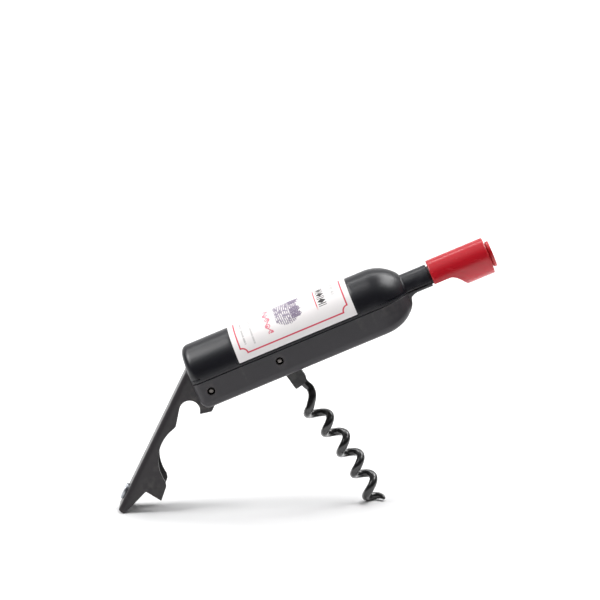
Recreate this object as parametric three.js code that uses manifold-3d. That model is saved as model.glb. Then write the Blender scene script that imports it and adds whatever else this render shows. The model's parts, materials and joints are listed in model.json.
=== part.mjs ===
// A bottle-shaped waiter's corkscrew, opened out and standing on its lever and worm.
// Millimetres, +Z up, +X towards the bottle's mouth, +Y across its width.
import * as THREE from 'three';
import { mergeVertices } from 'three/addons/utils/BufferGeometryUtils.js';
import Module from 'manifold-3d';

const wasm = await Module();
wasm.setup();

// ---------------------------------------------------------------- driving sizes
const GAP = 0.3;                    // clearance between pieces that sit against each other
const REACH = 20;                   // cutting solids run this far, past every face they cut

const BOTTLE_LENGTH = 114.5;
const BODY_RADIUS = 11.85;
const BASE_FILLET = 2.8;
const SHOULDER_START = 70;          // distances along the bottle from its base
const SHOULDER_END = 81.1;
const SHOULDER_ROUND = 13.7;        // radius of the shoulder in side view
const NECK_RADIUS = 5.55;
const NECK_END = 91.0;
const NECK_BLEND = 0.6;             // small rounding where the shoulder runs into the neck
const SHELL_WALL = 1.45;
const SHELL_CORNER = 1.5;
const SEAM = -0.55;                 // height of the front shell's rim above the bottle's axis
const BASE_WALL = 2.2;
const MOUTH_TOP = 3.4;              // top of the opening in the base, which stops the lever
const MOUTH_HALF_WIDTH = 7.4;

const HOUSING_DEPTH = 10.3;         // how far the rear housing reaches behind the axis
const HOUSING_ROUND = 2.7;           // rounding along its two rear edges
const HOUSING_CORNER = 3;
const SWEEP_START = 66;             // the rear face sweeps up from here to the flat behind the neck
const SWEEP_END = 85.8;
const NECK_FLAT = 1.65;             // the neck is cut flat this far behind the axis
const CHANNEL_END = 62.5;
const CHANNEL_HALF_WIDTH = 8.9;
const WORM_SLOT_HALF_WIDTH = 4.6;
const FLOOR_LOW = 1.6;
const FLOOR_HIGH = 2.8;
const TONGUE_START = 4.2;           // the floor's raised part, which locates the front shell
const TONGUE_END = 72;
const TONGUE_HALF_WIDTH = 9.7;
const FLOOR_START = 8.5;            // the channel floor starts clear of the lever's heel

const LABEL_START = 18.4;
const LABEL_END = 62.9;
const LABEL_LOW = 0.6;              // height of the label's long edges above the axis
const LABEL_OUTER = 11.95;
const LABEL_THICKNESS = 0.25;
const LABEL_RECESS_RADIUS = 11.5;

const CAPSULE_START = 91.6;
const CAPSULE_END = 112.9;
const CAPSULE_RADIUS = 6.6;
const CAPSULE_FLAT = 1.2;           // how far behind the axis its cut-away back lies
const CAPSULE_ROUND = 0.4;
const SCOOP_START = 97.2;           // the scoop runs on down from the flat back
const SCOOP_END = 102.6;
const LIP_RADIUS = 4.7;             // the disc on the capsule's end stands for the bottle's lip
const SPIGOT_RADIUS = 4.7;
const SPIGOT_END = 108;

const PIN_RADIUS = 1.05;
const PIN_HOLE = 1.14;
const CHEEK_HOLE = 1.33;
const PIN_HALF_LENGTH = 11.4;
const LEVER_PIN = { x: 5.43, z: -4.65 };
const WORM_PIN = { x: 31.55, z: -4.11 };

const LEVER_WIDTH = 14;
const LEVER_SHEET = 1.2;
const LEVER_BEND = 2;               // outer radius of the channel's two long bends
const LEVER_PIVOT_HEIGHT = 10.6;    // from the lever's back face to its pin
const LEVER_TIP = 54.4;
const LEVER_HEEL = -0.95;
const LEVER_EYE_RADIUS = 3.75;
const LEVER_TIP_HEIGHT = 2.55;
const CAP_NOTCH = { x: 10.7, z: 7.2, radius: 3.65 };    // hooks under a crown cap's rim
const PIN_ARC = { x: 25.4, z: 17.5, radius: 14.04 };    // clears the worm's pin when folded
const RIM_REST = { x: 43.85, z: 5.8 };                  // sits on a bottle's lip
const TOOTH_HEIGHT = 12.2;
const LEVER_OPEN = 138.7;           // degrees from folded to open
const MAGNET_PLACE = 48.4;
const MAGNET_RADIUS = 3;
const MAGNET_THICKNESS = 1;

const LINER_INNER = 7.6;
const LINER_SHEET = 1;
const LINER_BEND = 1.4;
const LINER_START = 2.6;
const LINER_TOP = 1.3;
const LINER_LOW = -9.6;

const HUB_HALF_WIDTH = 2.75;
const HUB_HALF_THICKNESS = 2;
const HUB_LENGTH = 13.5;
const HUB_RISE = 0.45;              // the hub's middle line above its pin, towards the bottle's front
const HUB_CORNER = 0.6;
const SOCKET_START = 5.5;
const SOCKET_LENGTH = 9;
const SOCKET_GAP = 0.12;
const SHANK_OFFSET = 1.3;
const WIRE_RADIUS = 1.45;
const HELIX_RADIUS = 2.8;
const PITCH = 9.15;
const HELIX_START = 19.05;
const HELIX_TURNS = 5;
const POINT_RADIUS = 0.22;
const POINT_TAPER = 6;
const WORM_OPEN = 77.5;             // degrees from folded to open

const SCREW_PLACES = [13, 26, 42, 56];
const SCREW_RADIUS = 1;
const SCREW_LENGTH = 8;
const SCREW_HEAD_RADIUS = 1.9;
const SCREW_HEAD_HEIGHT = 1.1;
const BOSS_RADIUS = 2.3;
const BUSH_RADIUS = 2.1;
const SPACER_RADIUS = 2.2;
const WASHER_RADIUS = 2.9;

// ---------------------------------------------------------------- helpers
const degrees = (angle) => THREE.MathUtils.degToRad(angle);

// A closed surface as a solid whose faces point outwards.
function solid(geometry) {
  const bare = geometry.clone();
  bare.deleteAttribute('normal');
  bare.deleteAttribute('uv');
  const merged = mergeVertices(bare, 1e-5);
  const points = merged.attributes.position.array;
  const index = merged.index.array;
  const corner = (i) => new THREE.Vector3().fromArray(points, 3 * i);
  const kept = [];
  let volume = 0;
  for (let i = 0; i < index.length; i += 3) {
    const [a, b, c] = [index[i], index[i + 1], index[i + 2]];
    if (a === b || b === c || c === a) continue;
    kept.push(a, b, c);
    volume += corner(a).dot(corner(b).cross(corner(c)));
  }
  if (volume < 0) kept.reverse();
  return new wasm.Manifold(new wasm.Mesh({
    numProp: 3,
    vertProperties: new Float32Array(points),
    triVerts: new Uint32Array(kept),
  }));
}

function block(x0, x1, y0, y1, z0, z1) {
  const geometry = new THREE.BoxGeometry(x1 - x0, y1 - y0, z1 - z0);
  return solid(geometry.translate((x0 + x1) / 2, (y0 + y1) / 2, (z0 + z1) / 2));
}

// An outline drawn in X and Z, carried across the width from y0 to y1.
function across(shape, y0, y1, curveSegments = 8) {
  const geometry = new THREE.ExtrudeGeometry(shape, { depth: y1 - y0, bevelEnabled: false, curveSegments });
  return solid(geometry.rotateX(Math.PI / 2).translate(0, y1, 0));
}

// An outline drawn in X and Y, carried upwards from z0 to z1.
function upwards(shape, z0, z1, curveSegments = 8) {
  const geometry = new THREE.ExtrudeGeometry(shape, { depth: z1 - z0, bevelEnabled: false, curveSegments });
  return solid(geometry.translate(0, 0, z0));
}

// A section drawn in Y and Z, carried along X from x0 to x1.
function lengthwise(shape, x0, x1, curveSegments = 8) {
  const geometry = new THREE.ExtrudeGeometry(shape, { depth: x1 - x0, bevelEnabled: false, curveSegments });
  const turn = new THREE.Matrix4().makeBasis(
    new THREE.Vector3(0, 1, 0), new THREE.Vector3(0, 0, 1), new THREE.Vector3(1, 0, 0));
  return solid(geometry.applyMatrix4(turn).translate(x0, 0, 0));
}

// A profile of [distance along X, radius] turned about the X axis.
function turned(profile, segments = 48) {
  const points = profile.map(([x, radius]) => new THREE.Vector2(radius, x));
  return solid(new THREE.LatheGeometry(points, segments).rotateZ(-Math.PI / 2).rotateX(Math.PI / 2));
}

// A round bar across the width; a hole's flats stay outside its radius.
function barAcross(radius, y0, y1, { x, z }, sides = 20) {
  const geometry = new THREE.CylinderGeometry(radius, radius, y1 - y0, sides);
  return solid(geometry.translate(x, (y0 + y1) / 2, z));
}

function holeAcross(radius, place) {
  const sides = 20;
  return barAcross(radius / Math.cos(Math.PI / sides), -REACH, REACH, place, sides);
}

function barUpwards(radius, z0, z1, x, sides = 16) {
  const geometry = new THREE.CylinderGeometry(radius, radius, z1 - z0, sides);
  return solid(geometry.rotateX(Math.PI / 2).translate(x, 0, (z0 + z1) / 2));
}

// A quarter ellipse from (x0, r0) to (x1, r1) that leaves r0 level, as [x, radius] points.
function quarterRound(x0, r0, x1, r1, steps) {
  const points = [];
  for (let i = 0; i <= steps; i += 1) {
    const turn = (i / steps) * Math.PI / 2;
    points.push([x0 + (x1 - x0) * Math.sin(turn), r1 + (r0 - r1) * Math.cos(turn)]);
  }
  return points;
}

function finish(color, roughness, metalness) {
  return new THREE.MeshStandardMaterial({ color, roughness, metalness });
}

const FINISHES = {
  shellPlastic: finish(0x202026, 0.38, 0),
  housingPlastic: finish(0x3e3b40, 0.45, 0),
  label: finish(0xe9e4e2, 0.55, 0),
  capsule: finish(0xb8203a, 0.25, 0),
  blackSteel: finish(0x2c2a2d, 0.4, 0.4),
  wormSteel: finish(0x141416, 0.15, 0.5),
  hub: finish(0x2a292c, 0.6, 0.1),
  plainSteel: finish(0x8a8680, 0.4, 0.9),
  nickel: finish(0xc6cace, 0.2, 1),
  nylon: finish(0xd8d4c8, 0.5, 0),
};

function piece(name, body, material) {
  const { numProp, vertProperties, triVerts } = body.getMesh();
  if (numProp !== 3) throw new Error(`${name} carries more than positions`);
  const geometry = new THREE.BufferGeometry();
  geometry.setAttribute('position', new THREE.BufferAttribute(vertProperties, 3));
  geometry.setIndex(new THREE.BufferAttribute(triVerts, 1));
  geometry.computeVertexNormals();
  const mesh = new THREE.Mesh(geometry, material);
  mesh.name = name;
  return mesh;
}

// ---------------------------------------------------------------- the bottle's outline
// A circle that leaves the body level and meets the neck at an angle.
const SHOULDER = Array.from({ length: 9 }, (_, i) => {
  const along = (i / 8) * (SHOULDER_END - SHOULDER_START);
  const drop = SHOULDER_ROUND - Math.sqrt(SHOULDER_ROUND ** 2 - along ** 2);
  return [SHOULDER_START + along, BODY_RADIUS - drop];
});
const NECK_FILLET = [[SHOULDER_END + NECK_BLEND / 3, NECK_RADIUS + NECK_BLEND / 3],
  [SHOULDER_END + NECK_BLEND, NECK_RADIUS]];

// The base rounds up from its flat, then the side, the shoulder and the neck.
function bottleOutline() {
  const base = quarterRound(BASE_FILLET, BODY_RADIUS, 0, BODY_RADIUS - BASE_FILLET, 5).reverse();
  return [...base, ...SHOULDER, ...NECK_FILLET, [NECK_END, NECK_RADIUS]];
}

// The front half of the bottle: a hollow half shell with a spigot for the capsule.
function frontShell() {
  const outside = turned([[0, 0], ...bottleOutline(),
    [NECK_END, SPIGOT_RADIUS], [SPIGOT_END, SPIGOT_RADIUS], [SPIGOT_END, 0]]);
  const inner = BODY_RADIUS - SHELL_WALL;
  const throat = NECK_RADIUS - SHELL_WALL;
  const inside = turned([[BASE_WALL, 0], [BASE_WALL, inner - SHELL_CORNER], [BASE_WALL + SHELL_CORNER, inner],
    ...quarterRound(SHOULDER_START - SHELL_WALL / 2, inner, SHOULDER_END - SHELL_WALL, throat, 6),
    [NECK_END - SHELL_WALL, throat - GAP], [NECK_END - SHELL_WALL, 0]]);
  const recess = [LABEL_START - GAP, LABEL_END + GAP];
  const panel = turned([[recess[0], LABEL_RECESS_RADIUS], [recess[0], REACH], [recess[1], REACH],
    [recess[1], LABEL_RECESS_RADIUS], [recess[0], LABEL_RECESS_RADIUS]])
    .intersect(block(0, NECK_END, -REACH, REACH, LABEL_LOW - GAP, REACH));
  let shell = outside.subtract(inside).subtract(panel)
    .subtract(block(-1, NECK_END + 0.01, -REACH, REACH, -REACH, SEAM))
    .subtract(block(NECK_END, SPIGOT_END + 1, -REACH, REACH, -REACH, GAP))
    .subtract(block(-1, BASE_WALL + 0.1, -MOUTH_HALF_WIDTH, MOUTH_HALF_WIDTH, -1, MOUTH_TOP));
  for (const place of SCREW_PLACES) {
    shell = shell.add(barUpwards(BOSS_RADIUS, FLOOR_HIGH + GAP, inner + GAP, place));
    shell = shell.subtract(barUpwards(SCREW_RADIUS + 0.2, FLOOR_HIGH, SCREW_LENGTH + 0.8, place));
  }
  return shell;
}

// The rear half: two flat cheeks joined by a floor, with an open channel between them.
function rearHousing() {
  const top = SEAM - GAP;
  const low = -HOUSING_DEPTH;
  const section = new THREE.Shape();
  section.moveTo(-BODY_RADIUS, top);
  section.lineTo(-BODY_RADIUS, low + HOUSING_ROUND);
  section.absarc(-BODY_RADIUS + HOUSING_ROUND, low + HOUSING_ROUND, HOUSING_ROUND, Math.PI, 1.5 * Math.PI);
  section.absarc(BODY_RADIUS - HOUSING_ROUND, low + HOUSING_ROUND, HOUSING_ROUND, -0.5 * Math.PI, 0);
  section.lineTo(BODY_RADIUS, top);

  const plan = new THREE.Shape();
  const outline = bottleOutline();
  plan.setFromPoints([...outline.map(([x, r]) => new THREE.Vector2(x, r)).reverse(),
    ...outline.map(([x, r]) => new THREE.Vector2(x, -r))]);

  const side = new THREE.Shape();
  side.moveTo(0, top);
  side.lineTo(0, low + HOUSING_CORNER);
  side.absarc(HOUSING_CORNER, low + HOUSING_CORNER, HOUSING_CORNER, Math.PI, 1.5 * Math.PI);
  side.lineTo(SWEEP_START, low);
  side.bezierCurveTo(SWEEP_START + 8, low, 80.6, -7.8, 81.9, -4.1);
  side.quadraticCurveTo(82.8, -NECK_FLAT, SWEEP_END, -NECK_FLAT);
  side.lineTo(NECK_END, -NECK_FLAT);
  side.lineTo(NECK_END, top);

  const open = FLOOR_HIGH + 1;
  let housing = lengthwise(section, -1, NECK_END + 1, 6).intersect(upwards(plan, -REACH, REACH))
    .intersect(across(side, -REACH, REACH, 10));
  housing = housing
    .add(block(TONGUE_START, TONGUE_END, -TONGUE_HALF_WIDTH, TONGUE_HALF_WIDTH, top - 1, FLOOR_HIGH))
    .subtract(block(BASE_WALL + 0.1, CHANNEL_END, -CHANNEL_HALF_WIDTH, CHANNEL_HALF_WIDTH, -REACH, FLOOR_LOW))
    .subtract(block(BASE_WALL + 0.1, FLOOR_START, -CHANNEL_HALF_WIDTH, CHANNEL_HALF_WIDTH, -REACH, open))
    .subtract(block(-1, BASE_WALL + 0.2, -MOUTH_HALF_WIDTH, MOUTH_HALF_WIDTH, -REACH, open))
    .subtract(block(CHANNEL_END - 1, NECK_END + 1, -WORM_SLOT_HALF_WIDTH, WORM_SLOT_HALF_WIDTH,
      -REACH, -NECK_FLAT - 0.1))
    .subtract(holeAcross(CHEEK_HOLE, LEVER_PIN))
    .subtract(holeAcross(CHEEK_HOLE, WORM_PIN));
  for (const place of SCREW_PLACES) {
    housing = housing.subtract(barUpwards(SCREW_RADIUS + 0.3, FLOOR_LOW - 1, FLOOR_HIGH + 1, place));
  }
  return housing;
}

// A steel channel inside the housing carries both pins; the screws clamp it to the front shell.
function frameLiner() {
  const outer = LINER_INNER + LINER_SHEET;
  const bend = LINER_BEND;
  const inside = bend - LINER_SHEET;
  const section = new THREE.Shape();
  section.moveTo(-outer, LINER_LOW);
  section.lineTo(-LINER_INNER, LINER_LOW);
  section.absarc(-LINER_INNER + inside, LINER_TOP - bend, inside, Math.PI, 0.5 * Math.PI, true);
  section.absarc(LINER_INNER - inside, LINER_TOP - bend, inside, 0.5 * Math.PI, 0, true);
  section.lineTo(LINER_INNER, LINER_LOW);
  section.lineTo(outer, LINER_LOW);
  section.absarc(outer - bend, LINER_TOP - bend, bend, 0, 0.5 * Math.PI);
  section.absarc(-outer + bend, LINER_TOP - bend, bend, 0.5 * Math.PI, Math.PI);
  let liner = lengthwise(section, LINER_START, CHANNEL_END - GAP, 4)
    .subtract(block(0, FLOOR_START + GAP, -LINER_INNER, LINER_INNER, LINER_TOP - 3, LINER_TOP + 1))
    .subtract(holeAcross(PIN_HOLE, LEVER_PIN))
    .subtract(holeAcross(PIN_HOLE, WORM_PIN));
  for (const place of SCREW_PLACES) {
    liner = liner.subtract(barUpwards(SCREW_RADIUS + 0.2, LINER_TOP - 3, LINER_TOP + 1, place));
  }
  return liner;
}

// The printed label, wrapped round the front shell's shallow panel.
function label() {
  const inner = LABEL_OUTER - LABEL_THICKNESS;
  return turned([[LABEL_START, inner], [LABEL_START, LABEL_OUTER], [LABEL_END, LABEL_OUTER],
    [LABEL_END, inner], [LABEL_START, inner]], 72)
    .intersect(block(0, NECK_END, -REACH, REACH, LABEL_LOW, REACH));
}

// The red capsule, pushed over the spigot; its scooped back gives a fingertip room at the worm.
function capsule() {
  const corner = CAPSULE_RADIUS - CAPSULE_ROUND;
  const outside = turned([[CAPSULE_START, 0], [CAPSULE_START, corner],
    [CAPSULE_START + CAPSULE_ROUND, CAPSULE_RADIUS], [CAPSULE_END - CAPSULE_ROUND, CAPSULE_RADIUS],
    [CAPSULE_END, corner], [CAPSULE_END, LIP_RADIUS - 0.5],
    [CAPSULE_END + 0.35, LIP_RADIUS - 0.5], [CAPSULE_END + 0.5, LIP_RADIUS - 0.1],
    [CAPSULE_END + 0.8, LIP_RADIUS], [BOTTLE_LENGTH - 0.3, LIP_RADIUS - 0.05],
    [BOTTLE_LENGTH, LIP_RADIUS - 0.4], [BOTTLE_LENGTH, 0]], 40);
  const bore = turned([[CAPSULE_START - 1, 0], [CAPSULE_START - 1, SPIGOT_RADIUS + GAP],
    [SPIGOT_END + GAP, SPIGOT_RADIUS + GAP], [SPIGOT_END + GAP, 0]], 40)
    .intersect(block(NECK_END, BOTTLE_LENGTH, -REACH, REACH, 0, REACH));
  const scoop = new THREE.Shape();
  scoop.moveTo(CAPSULE_START - 2, -CAPSULE_FLAT);
  scoop.lineTo(CAPSULE_START - 2, -2 * CAPSULE_RADIUS);
  scoop.lineTo(SCOOP_END + 1.9, -2 * CAPSULE_RADIUS);
  scoop.lineTo(SCOOP_END, -CAPSULE_RADIUS);
  scoop.quadraticCurveTo((SCOOP_START + SCOOP_END) / 2, -CAPSULE_FLAT, SCOOP_START, -CAPSULE_FLAT);
  return outside.subtract(bore).subtract(across(scoop, -REACH, REACH));
}

// ---------------------------------------------------------------- the lever
// Its own axes, folded: X from the pin towards the tip, Z from its back face into the bottle.
function leverOutline() {
  const shape = new THREE.Shape();
  shape.moveTo(LEVER_HEEL, 0);
  shape.lineTo(LEVER_TIP - 1.1, 0);
  shape.quadraticCurveTo(LEVER_TIP - 0.3, 0, LEVER_TIP - 0.2, 0.8);
  shape.lineTo(LEVER_TIP, LEVER_TIP_HEIGHT - 0.65);
  shape.quadraticCurveTo(LEVER_TIP + 0.05, LEVER_TIP_HEIGHT - 0.15, LEVER_TIP - 0.5, LEVER_TIP_HEIGHT);
  shape.lineTo(RIM_REST.x + 0.55, RIM_REST.z - 0.15);
  shape.quadraticCurveTo(RIM_REST.x - 0.05, RIM_REST.z + 0.05, RIM_REST.x, RIM_REST.z + 0.65);
  shape.lineTo(RIM_REST.x + 0.65, TOOTH_HEIGHT);
  shape.lineTo(RIM_REST.x - 4.65, TOOTH_HEIGHT - 0.6);
  shape.quadraticCurveTo(RIM_REST.x - 5.35, TOOTH_HEIGHT - 0.7, RIM_REST.x - 5.95, TOOTH_HEIGHT - 1.3);
  shape.absarc(PIN_ARC.x, PIN_ARC.z, PIN_ARC.radius, degrees(-30), degrees(-117), true);
  shape.lineTo(CAP_NOTCH.x + 7.5, CAP_NOTCH.z - 1.95);
  shape.absarc(CAP_NOTCH.x, CAP_NOTCH.z, CAP_NOTCH.radius, degrees(-71), degrees(-258), true);
  shape.lineTo(CAP_NOTCH.x - 0.6, CAP_NOTCH.z + 3.95);
  shape.lineTo(CAP_NOTCH.x - 3.2, LEVER_PIVOT_HEIGHT + LEVER_EYE_RADIUS);
  shape.absarc(0, LEVER_PIVOT_HEIGHT, LEVER_EYE_RADIUS, degrees(90), degrees(190));
  return shape;
}

// Pressed from one steel strip into a channel, with a cap notch and a forked rim rest.
function lever() {
  const half = LEVER_WIDTH / 2;
  const inner = half - LEVER_SHEET;
  const bend = LEVER_BEND;
  const tight = bend - LEVER_SHEET;
  const channel = new THREE.Shape();
  channel.moveTo(-half, REACH);
  channel.lineTo(-half, bend);
  channel.absarc(-half + bend, bend, bend, Math.PI, 1.5 * Math.PI);
  channel.absarc(half - bend, bend, bend, -0.5 * Math.PI, 0);
  channel.lineTo(half, REACH);
  channel.lineTo(inner, REACH);
  channel.absarc(inner - tight, LEVER_SHEET + tight, tight, 0, -0.5 * Math.PI, true);
  channel.absarc(-inner + tight, LEVER_SHEET + tight, tight, -0.5 * Math.PI, -Math.PI, true);
  channel.lineTo(-inner, REACH);
  return across(leverOutline(), -REACH, REACH, 12)
    .intersect(lengthwise(channel, -REACH, LEVER_TIP + 1, 4))
    .subtract(holeAcross(PIN_HOLE, { x: 0, z: LEVER_PIVOT_HEIGHT }));
}

function magnet() {
  const geometry = new THREE.CylinderGeometry(MAGNET_RADIUS, MAGNET_RADIUS, MAGNET_THICKNESS, 32);
  return solid(geometry.rotateX(Math.PI / 2).translate(MAGNET_PLACE, 0, -MAGNET_THICKNESS / 2 - 0.05));
}

function ringAcross(radius, y0, y1, place) {
  return barAcross(radius, y0, y1, place, 24).subtract(holeAcross(PIN_HOLE, place));
}

// ---------------------------------------------------------------- the worm
// Its own axes, folded: X from the pin towards the point, Z towards the bottle's front.
function wormHub() {
  const shape = new THREE.Shape();
  const [low, high] = [HUB_RISE - HUB_HALF_WIDTH, HUB_RISE + HUB_HALF_WIDTH];
  shape.absarc(0, HUB_RISE, HUB_HALF_WIDTH, 0.5 * Math.PI, 1.5 * Math.PI);
  shape.lineTo(HUB_LENGTH - HUB_CORNER, low);
  shape.quadraticCurveTo(HUB_LENGTH, low, HUB_LENGTH, low + HUB_CORNER);
  shape.lineTo(HUB_LENGTH, high - HUB_CORNER);
  shape.quadraticCurveTo(HUB_LENGTH, high, HUB_LENGTH - HUB_CORNER, high);
  const sides = 16;
  const socketRadius = (WIRE_RADIUS + SOCKET_GAP) / Math.cos(Math.PI / sides);
  const socket = new THREE.CylinderGeometry(socketRadius, socketRadius, SOCKET_LENGTH, sides);
  socket.rotateZ(Math.PI / 2).translate(SOCKET_START + SOCKET_LENGTH / 2, 0, SHANK_OFFSET);
  return across(shape, -HUB_HALF_THICKNESS, HUB_HALF_THICKNESS, 12)
    .subtract(holeAcross(PIN_HOLE, { x: 0, z: 0 }))
    .subtract(solid(socket));
}

// The wire's centre line: a straight shank, then a right-handed helix on a slightly bowed axis.
function wireLine() {
  const points = [[SOCKET_START + 0.4, 0, SHANK_OFFSET], [HUB_LENGTH - 3, 0, SHANK_OFFSET],
    [HUB_LENGTH + 0.4, 0, 1.36], [HUB_LENGTH + 2.8, -0.5, 1.9], [HELIX_START - 0.3, -2, 1],
  ].map(([x, y, z]) => new THREE.Vector3(x, y, z));
  for (let turn = 90; turn <= HELIX_TURNS * 360; turn += 30) {
    const along = HELIX_START + PITCH * turn / 360;
    const bow = -0.3 - 0.0042 * (along - 40.5) ** 2;
    points.push(new THREE.Vector3(along, -HELIX_RADIUS * Math.sin(degrees(turn)),
      bow + HELIX_RADIUS * Math.cos(degrees(turn))));
  }
  return new THREE.CatmullRomCurve3(points);
}

// A closed cylinder bent along the centre line and drawn out to a point.
function worm() {
  const steps = 112;
  const line = wireLine();
  const frames = line.computeFrenetFrames(steps);
  const length = line.getLength();
  const bar = new THREE.CylinderGeometry(1, 1, 1, 10, steps);
  const place = bar.attributes.position;
  for (let i = 0; i < place.count; i += 1) {
    const step = Math.round((place.getY(i) + 0.5) * steps);
    const left = length * (1 - step / steps);
    const fullness = Math.sqrt(Math.min(1, left / POINT_TAPER));
    const radius = POINT_RADIUS + (WIRE_RADIUS - POINT_RADIUS) * fullness;
    const point = line.getPointAt(step / steps)
      .addScaledVector(frames.normals[step], radius * place.getX(i))
      .addScaledVector(frames.binormals[step], radius * place.getZ(i));
    place.setXYZ(i, point.x, point.y, point.z);
  }
  return solid(bar);
}

// A pan-head screw, driven from the channel up into the front shell.
function bodyScrew(place) {
  const seat = LINER_TOP - LINER_SHEET - 0.1;
  const head = barUpwards(SCREW_HEAD_RADIUS, seat - SCREW_HEAD_HEIGHT, seat, place);
  const arm = SCREW_RADIUS;
  const slot = 0.25;
  const cross = block(place - arm, place + arm, -slot, slot, seat - 2, seat - SCREW_HEAD_HEIGHT / 2)
    .add(block(place - slot, place + slot, -arm, arm, seat - 2, seat - SCREW_HEAD_HEIGHT / 2));
  return head.add(barUpwards(SCREW_RADIUS, seat - 0.2, SCREW_LENGTH, place, 12)).subtract(cross);
}

// ---------------------------------------------------------------- assembly
const pinAt = (place) => barAcross(PIN_RADIUS, -PIN_HALF_LENGTH, PIN_HALF_LENGTH, place);
const bottle = new THREE.Group();
bottle.add(
  piece('front_shell', frontShell(), FINISHES.shellPlastic),
  piece('rear_housing', rearHousing(), FINISHES.housingPlastic),
  piece('frame_liner', frameLiner(), FINISHES.plainSteel),
  piece('label', label(), FINISHES.label),
  piece('capsule', capsule(), FINISHES.capsule),
  piece('lever_pin', pinAt(LEVER_PIN), FINISHES.plainSteel),
  piece('worm_pin', pinAt(WORM_PIN), FINISHES.plainSteel),
);

const washerInner = LEVER_WIDTH / 2 + 0.15;
const washerOuter = LINER_INNER - 0.15;
const spacerInner = HUB_HALF_THICKNESS + GAP;
const spacerOuter = LINER_INNER - GAP;
for (const [name, sign] of [['left', 1], ['right', -1]]) {
  const between = (inner, outer) => (sign > 0 ? [inner, outer] : [-outer, -inner]);
  const washer = ringAcross(WASHER_RADIUS, ...between(washerInner, washerOuter), LEVER_PIN);
  const spacer = ringAcross(SPACER_RADIUS, ...between(spacerInner, spacerOuter), WORM_PIN);
  bottle.add(
    piece(`lever_washer_${name}`, washer, FINISHES.nylon),
    piece(`worm_spacer_${name}`, spacer, FINISHES.nylon),
  );
}
SCREW_PLACES.forEach((place, i) => {
  bottle.add(piece(`body_screw_${i + 1}`, bodyScrew(place), FINISHES.plainSteel));
});

const leverGroup = new THREE.Group();
const bushHalf = LEVER_WIDTH / 2 - LEVER_SHEET - GAP;
const bush = ringAcross(BUSH_RADIUS, -bushHalf, bushHalf, { x: 0, z: LEVER_PIVOT_HEIGHT });
leverGroup.add(
  piece('lever', lever(), FINISHES.blackSteel),
  piece('magnet', magnet(), FINISHES.nickel),
  piece('lever_bush', bush, FINISHES.plainSteel),
);
for (const mesh of leverGroup.children) mesh.position.z = -LEVER_PIVOT_HEIGHT;
leverGroup.position.set(LEVER_PIN.x, 0, LEVER_PIN.z);
leverGroup.rotation.y = degrees(LEVER_OPEN);

const wormGroup = new THREE.Group();
wormGroup.add(piece('worm_hub', wormHub(), FINISHES.hub), piece('worm', worm(), FINISHES.wormSteel));
wormGroup.position.set(WORM_PIN.x, 0, WORM_PIN.z);
wormGroup.rotation.y = degrees(WORM_OPEN);
bottle.add(leverGroup, wormGroup);

// The lowest corner of one of the bottle's groups, as it now stands.
function lowestPoint(group) {
  const lowest = new THREE.Vector3(0, 0, Infinity);
  bottle.updateMatrixWorld(true);
  group.traverse((mesh) => {
    if (!mesh.isMesh) return;
    const place = mesh.geometry.attributes.position;
    for (let i = 0; i < place.count; i += 1) {
      const point = new THREE.Vector3().fromBufferAttribute(place, i).applyMatrix4(mesh.matrixWorld);
      if (point.z < lowest.z) lowest.copy(point);
    }
  });
  return lowest;
}

// Tip the bottle until the lever and the worm stand on one level.
bottle.rotation.y = degrees(-20.6);
for (let pass = 0; pass < 8; pass += 1) {
  const foot = lowestPoint(leverGroup);
  const point = lowestPoint(wormGroup);
  bottle.rotation.y += Math.atan2(point.z - foot.z, point.x - foot.x);
}

const group = new THREE.Group();
group.add(bottle);
group.updateMatrixWorld(true);
const bounds = new THREE.Box3().setFromObject(group, true);
const middle = bounds.getCenter(new THREE.Vector3());
bottle.position.set(-middle.x, 0, -bounds.min.z);

export default group;
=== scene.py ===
"""A bottle-shaped waiter's corkscrew, opened out and standing on its lever and its worm.

Sizes are millimetres in each part's own axes. They become metres in the row frame when a mesh is made.
"""

import json

import bmesh
import bpy
import numpy as np
from mathutils import Matrix, Vector
from mathutils.geometry import delaunay_2d_cdt


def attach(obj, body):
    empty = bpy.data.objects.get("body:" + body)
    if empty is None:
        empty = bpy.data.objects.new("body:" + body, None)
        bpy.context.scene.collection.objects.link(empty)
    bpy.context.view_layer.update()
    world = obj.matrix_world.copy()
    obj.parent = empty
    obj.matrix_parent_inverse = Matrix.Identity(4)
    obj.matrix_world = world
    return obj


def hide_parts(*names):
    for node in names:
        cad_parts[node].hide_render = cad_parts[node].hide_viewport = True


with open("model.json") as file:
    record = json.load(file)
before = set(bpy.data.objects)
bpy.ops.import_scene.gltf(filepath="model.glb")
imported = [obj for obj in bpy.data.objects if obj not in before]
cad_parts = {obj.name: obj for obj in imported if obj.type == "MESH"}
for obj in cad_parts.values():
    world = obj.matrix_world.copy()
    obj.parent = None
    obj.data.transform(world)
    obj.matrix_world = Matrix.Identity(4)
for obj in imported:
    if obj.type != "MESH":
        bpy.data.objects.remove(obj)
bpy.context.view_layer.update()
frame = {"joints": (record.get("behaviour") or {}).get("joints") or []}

# ---------------------------------------------------------------- how the corkscrew stands
# The lever hinges on one cross pin and the worm on another. The two pins tell how the bottle
# leans; the lever and the worm have axes of their own, turned about their pins.
MM = 0.001
LEVER_PIN = np.array([5.43, -4.65])      # along the bottle from its base, and above its axis
WORM_PIN = np.array([31.55, -4.11])
LEVER_TURN = np.radians(138.7)
WORM_TURN = np.radians(77.5)

joints = {joint["name"]: joint for joint in frame["joints"]}
lever_hinge = np.array(joints["lever_hinge"]["pos_m"])[[0, 2]]
worm_hinge = np.array(joints["worm_hinge"]["pos_m"])[[0, 2]]


def heading(step):
    """The angle of a step in the plane of X and Z, from +X towards +Z."""
    return np.arctan2(step[1], step[0])


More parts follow.
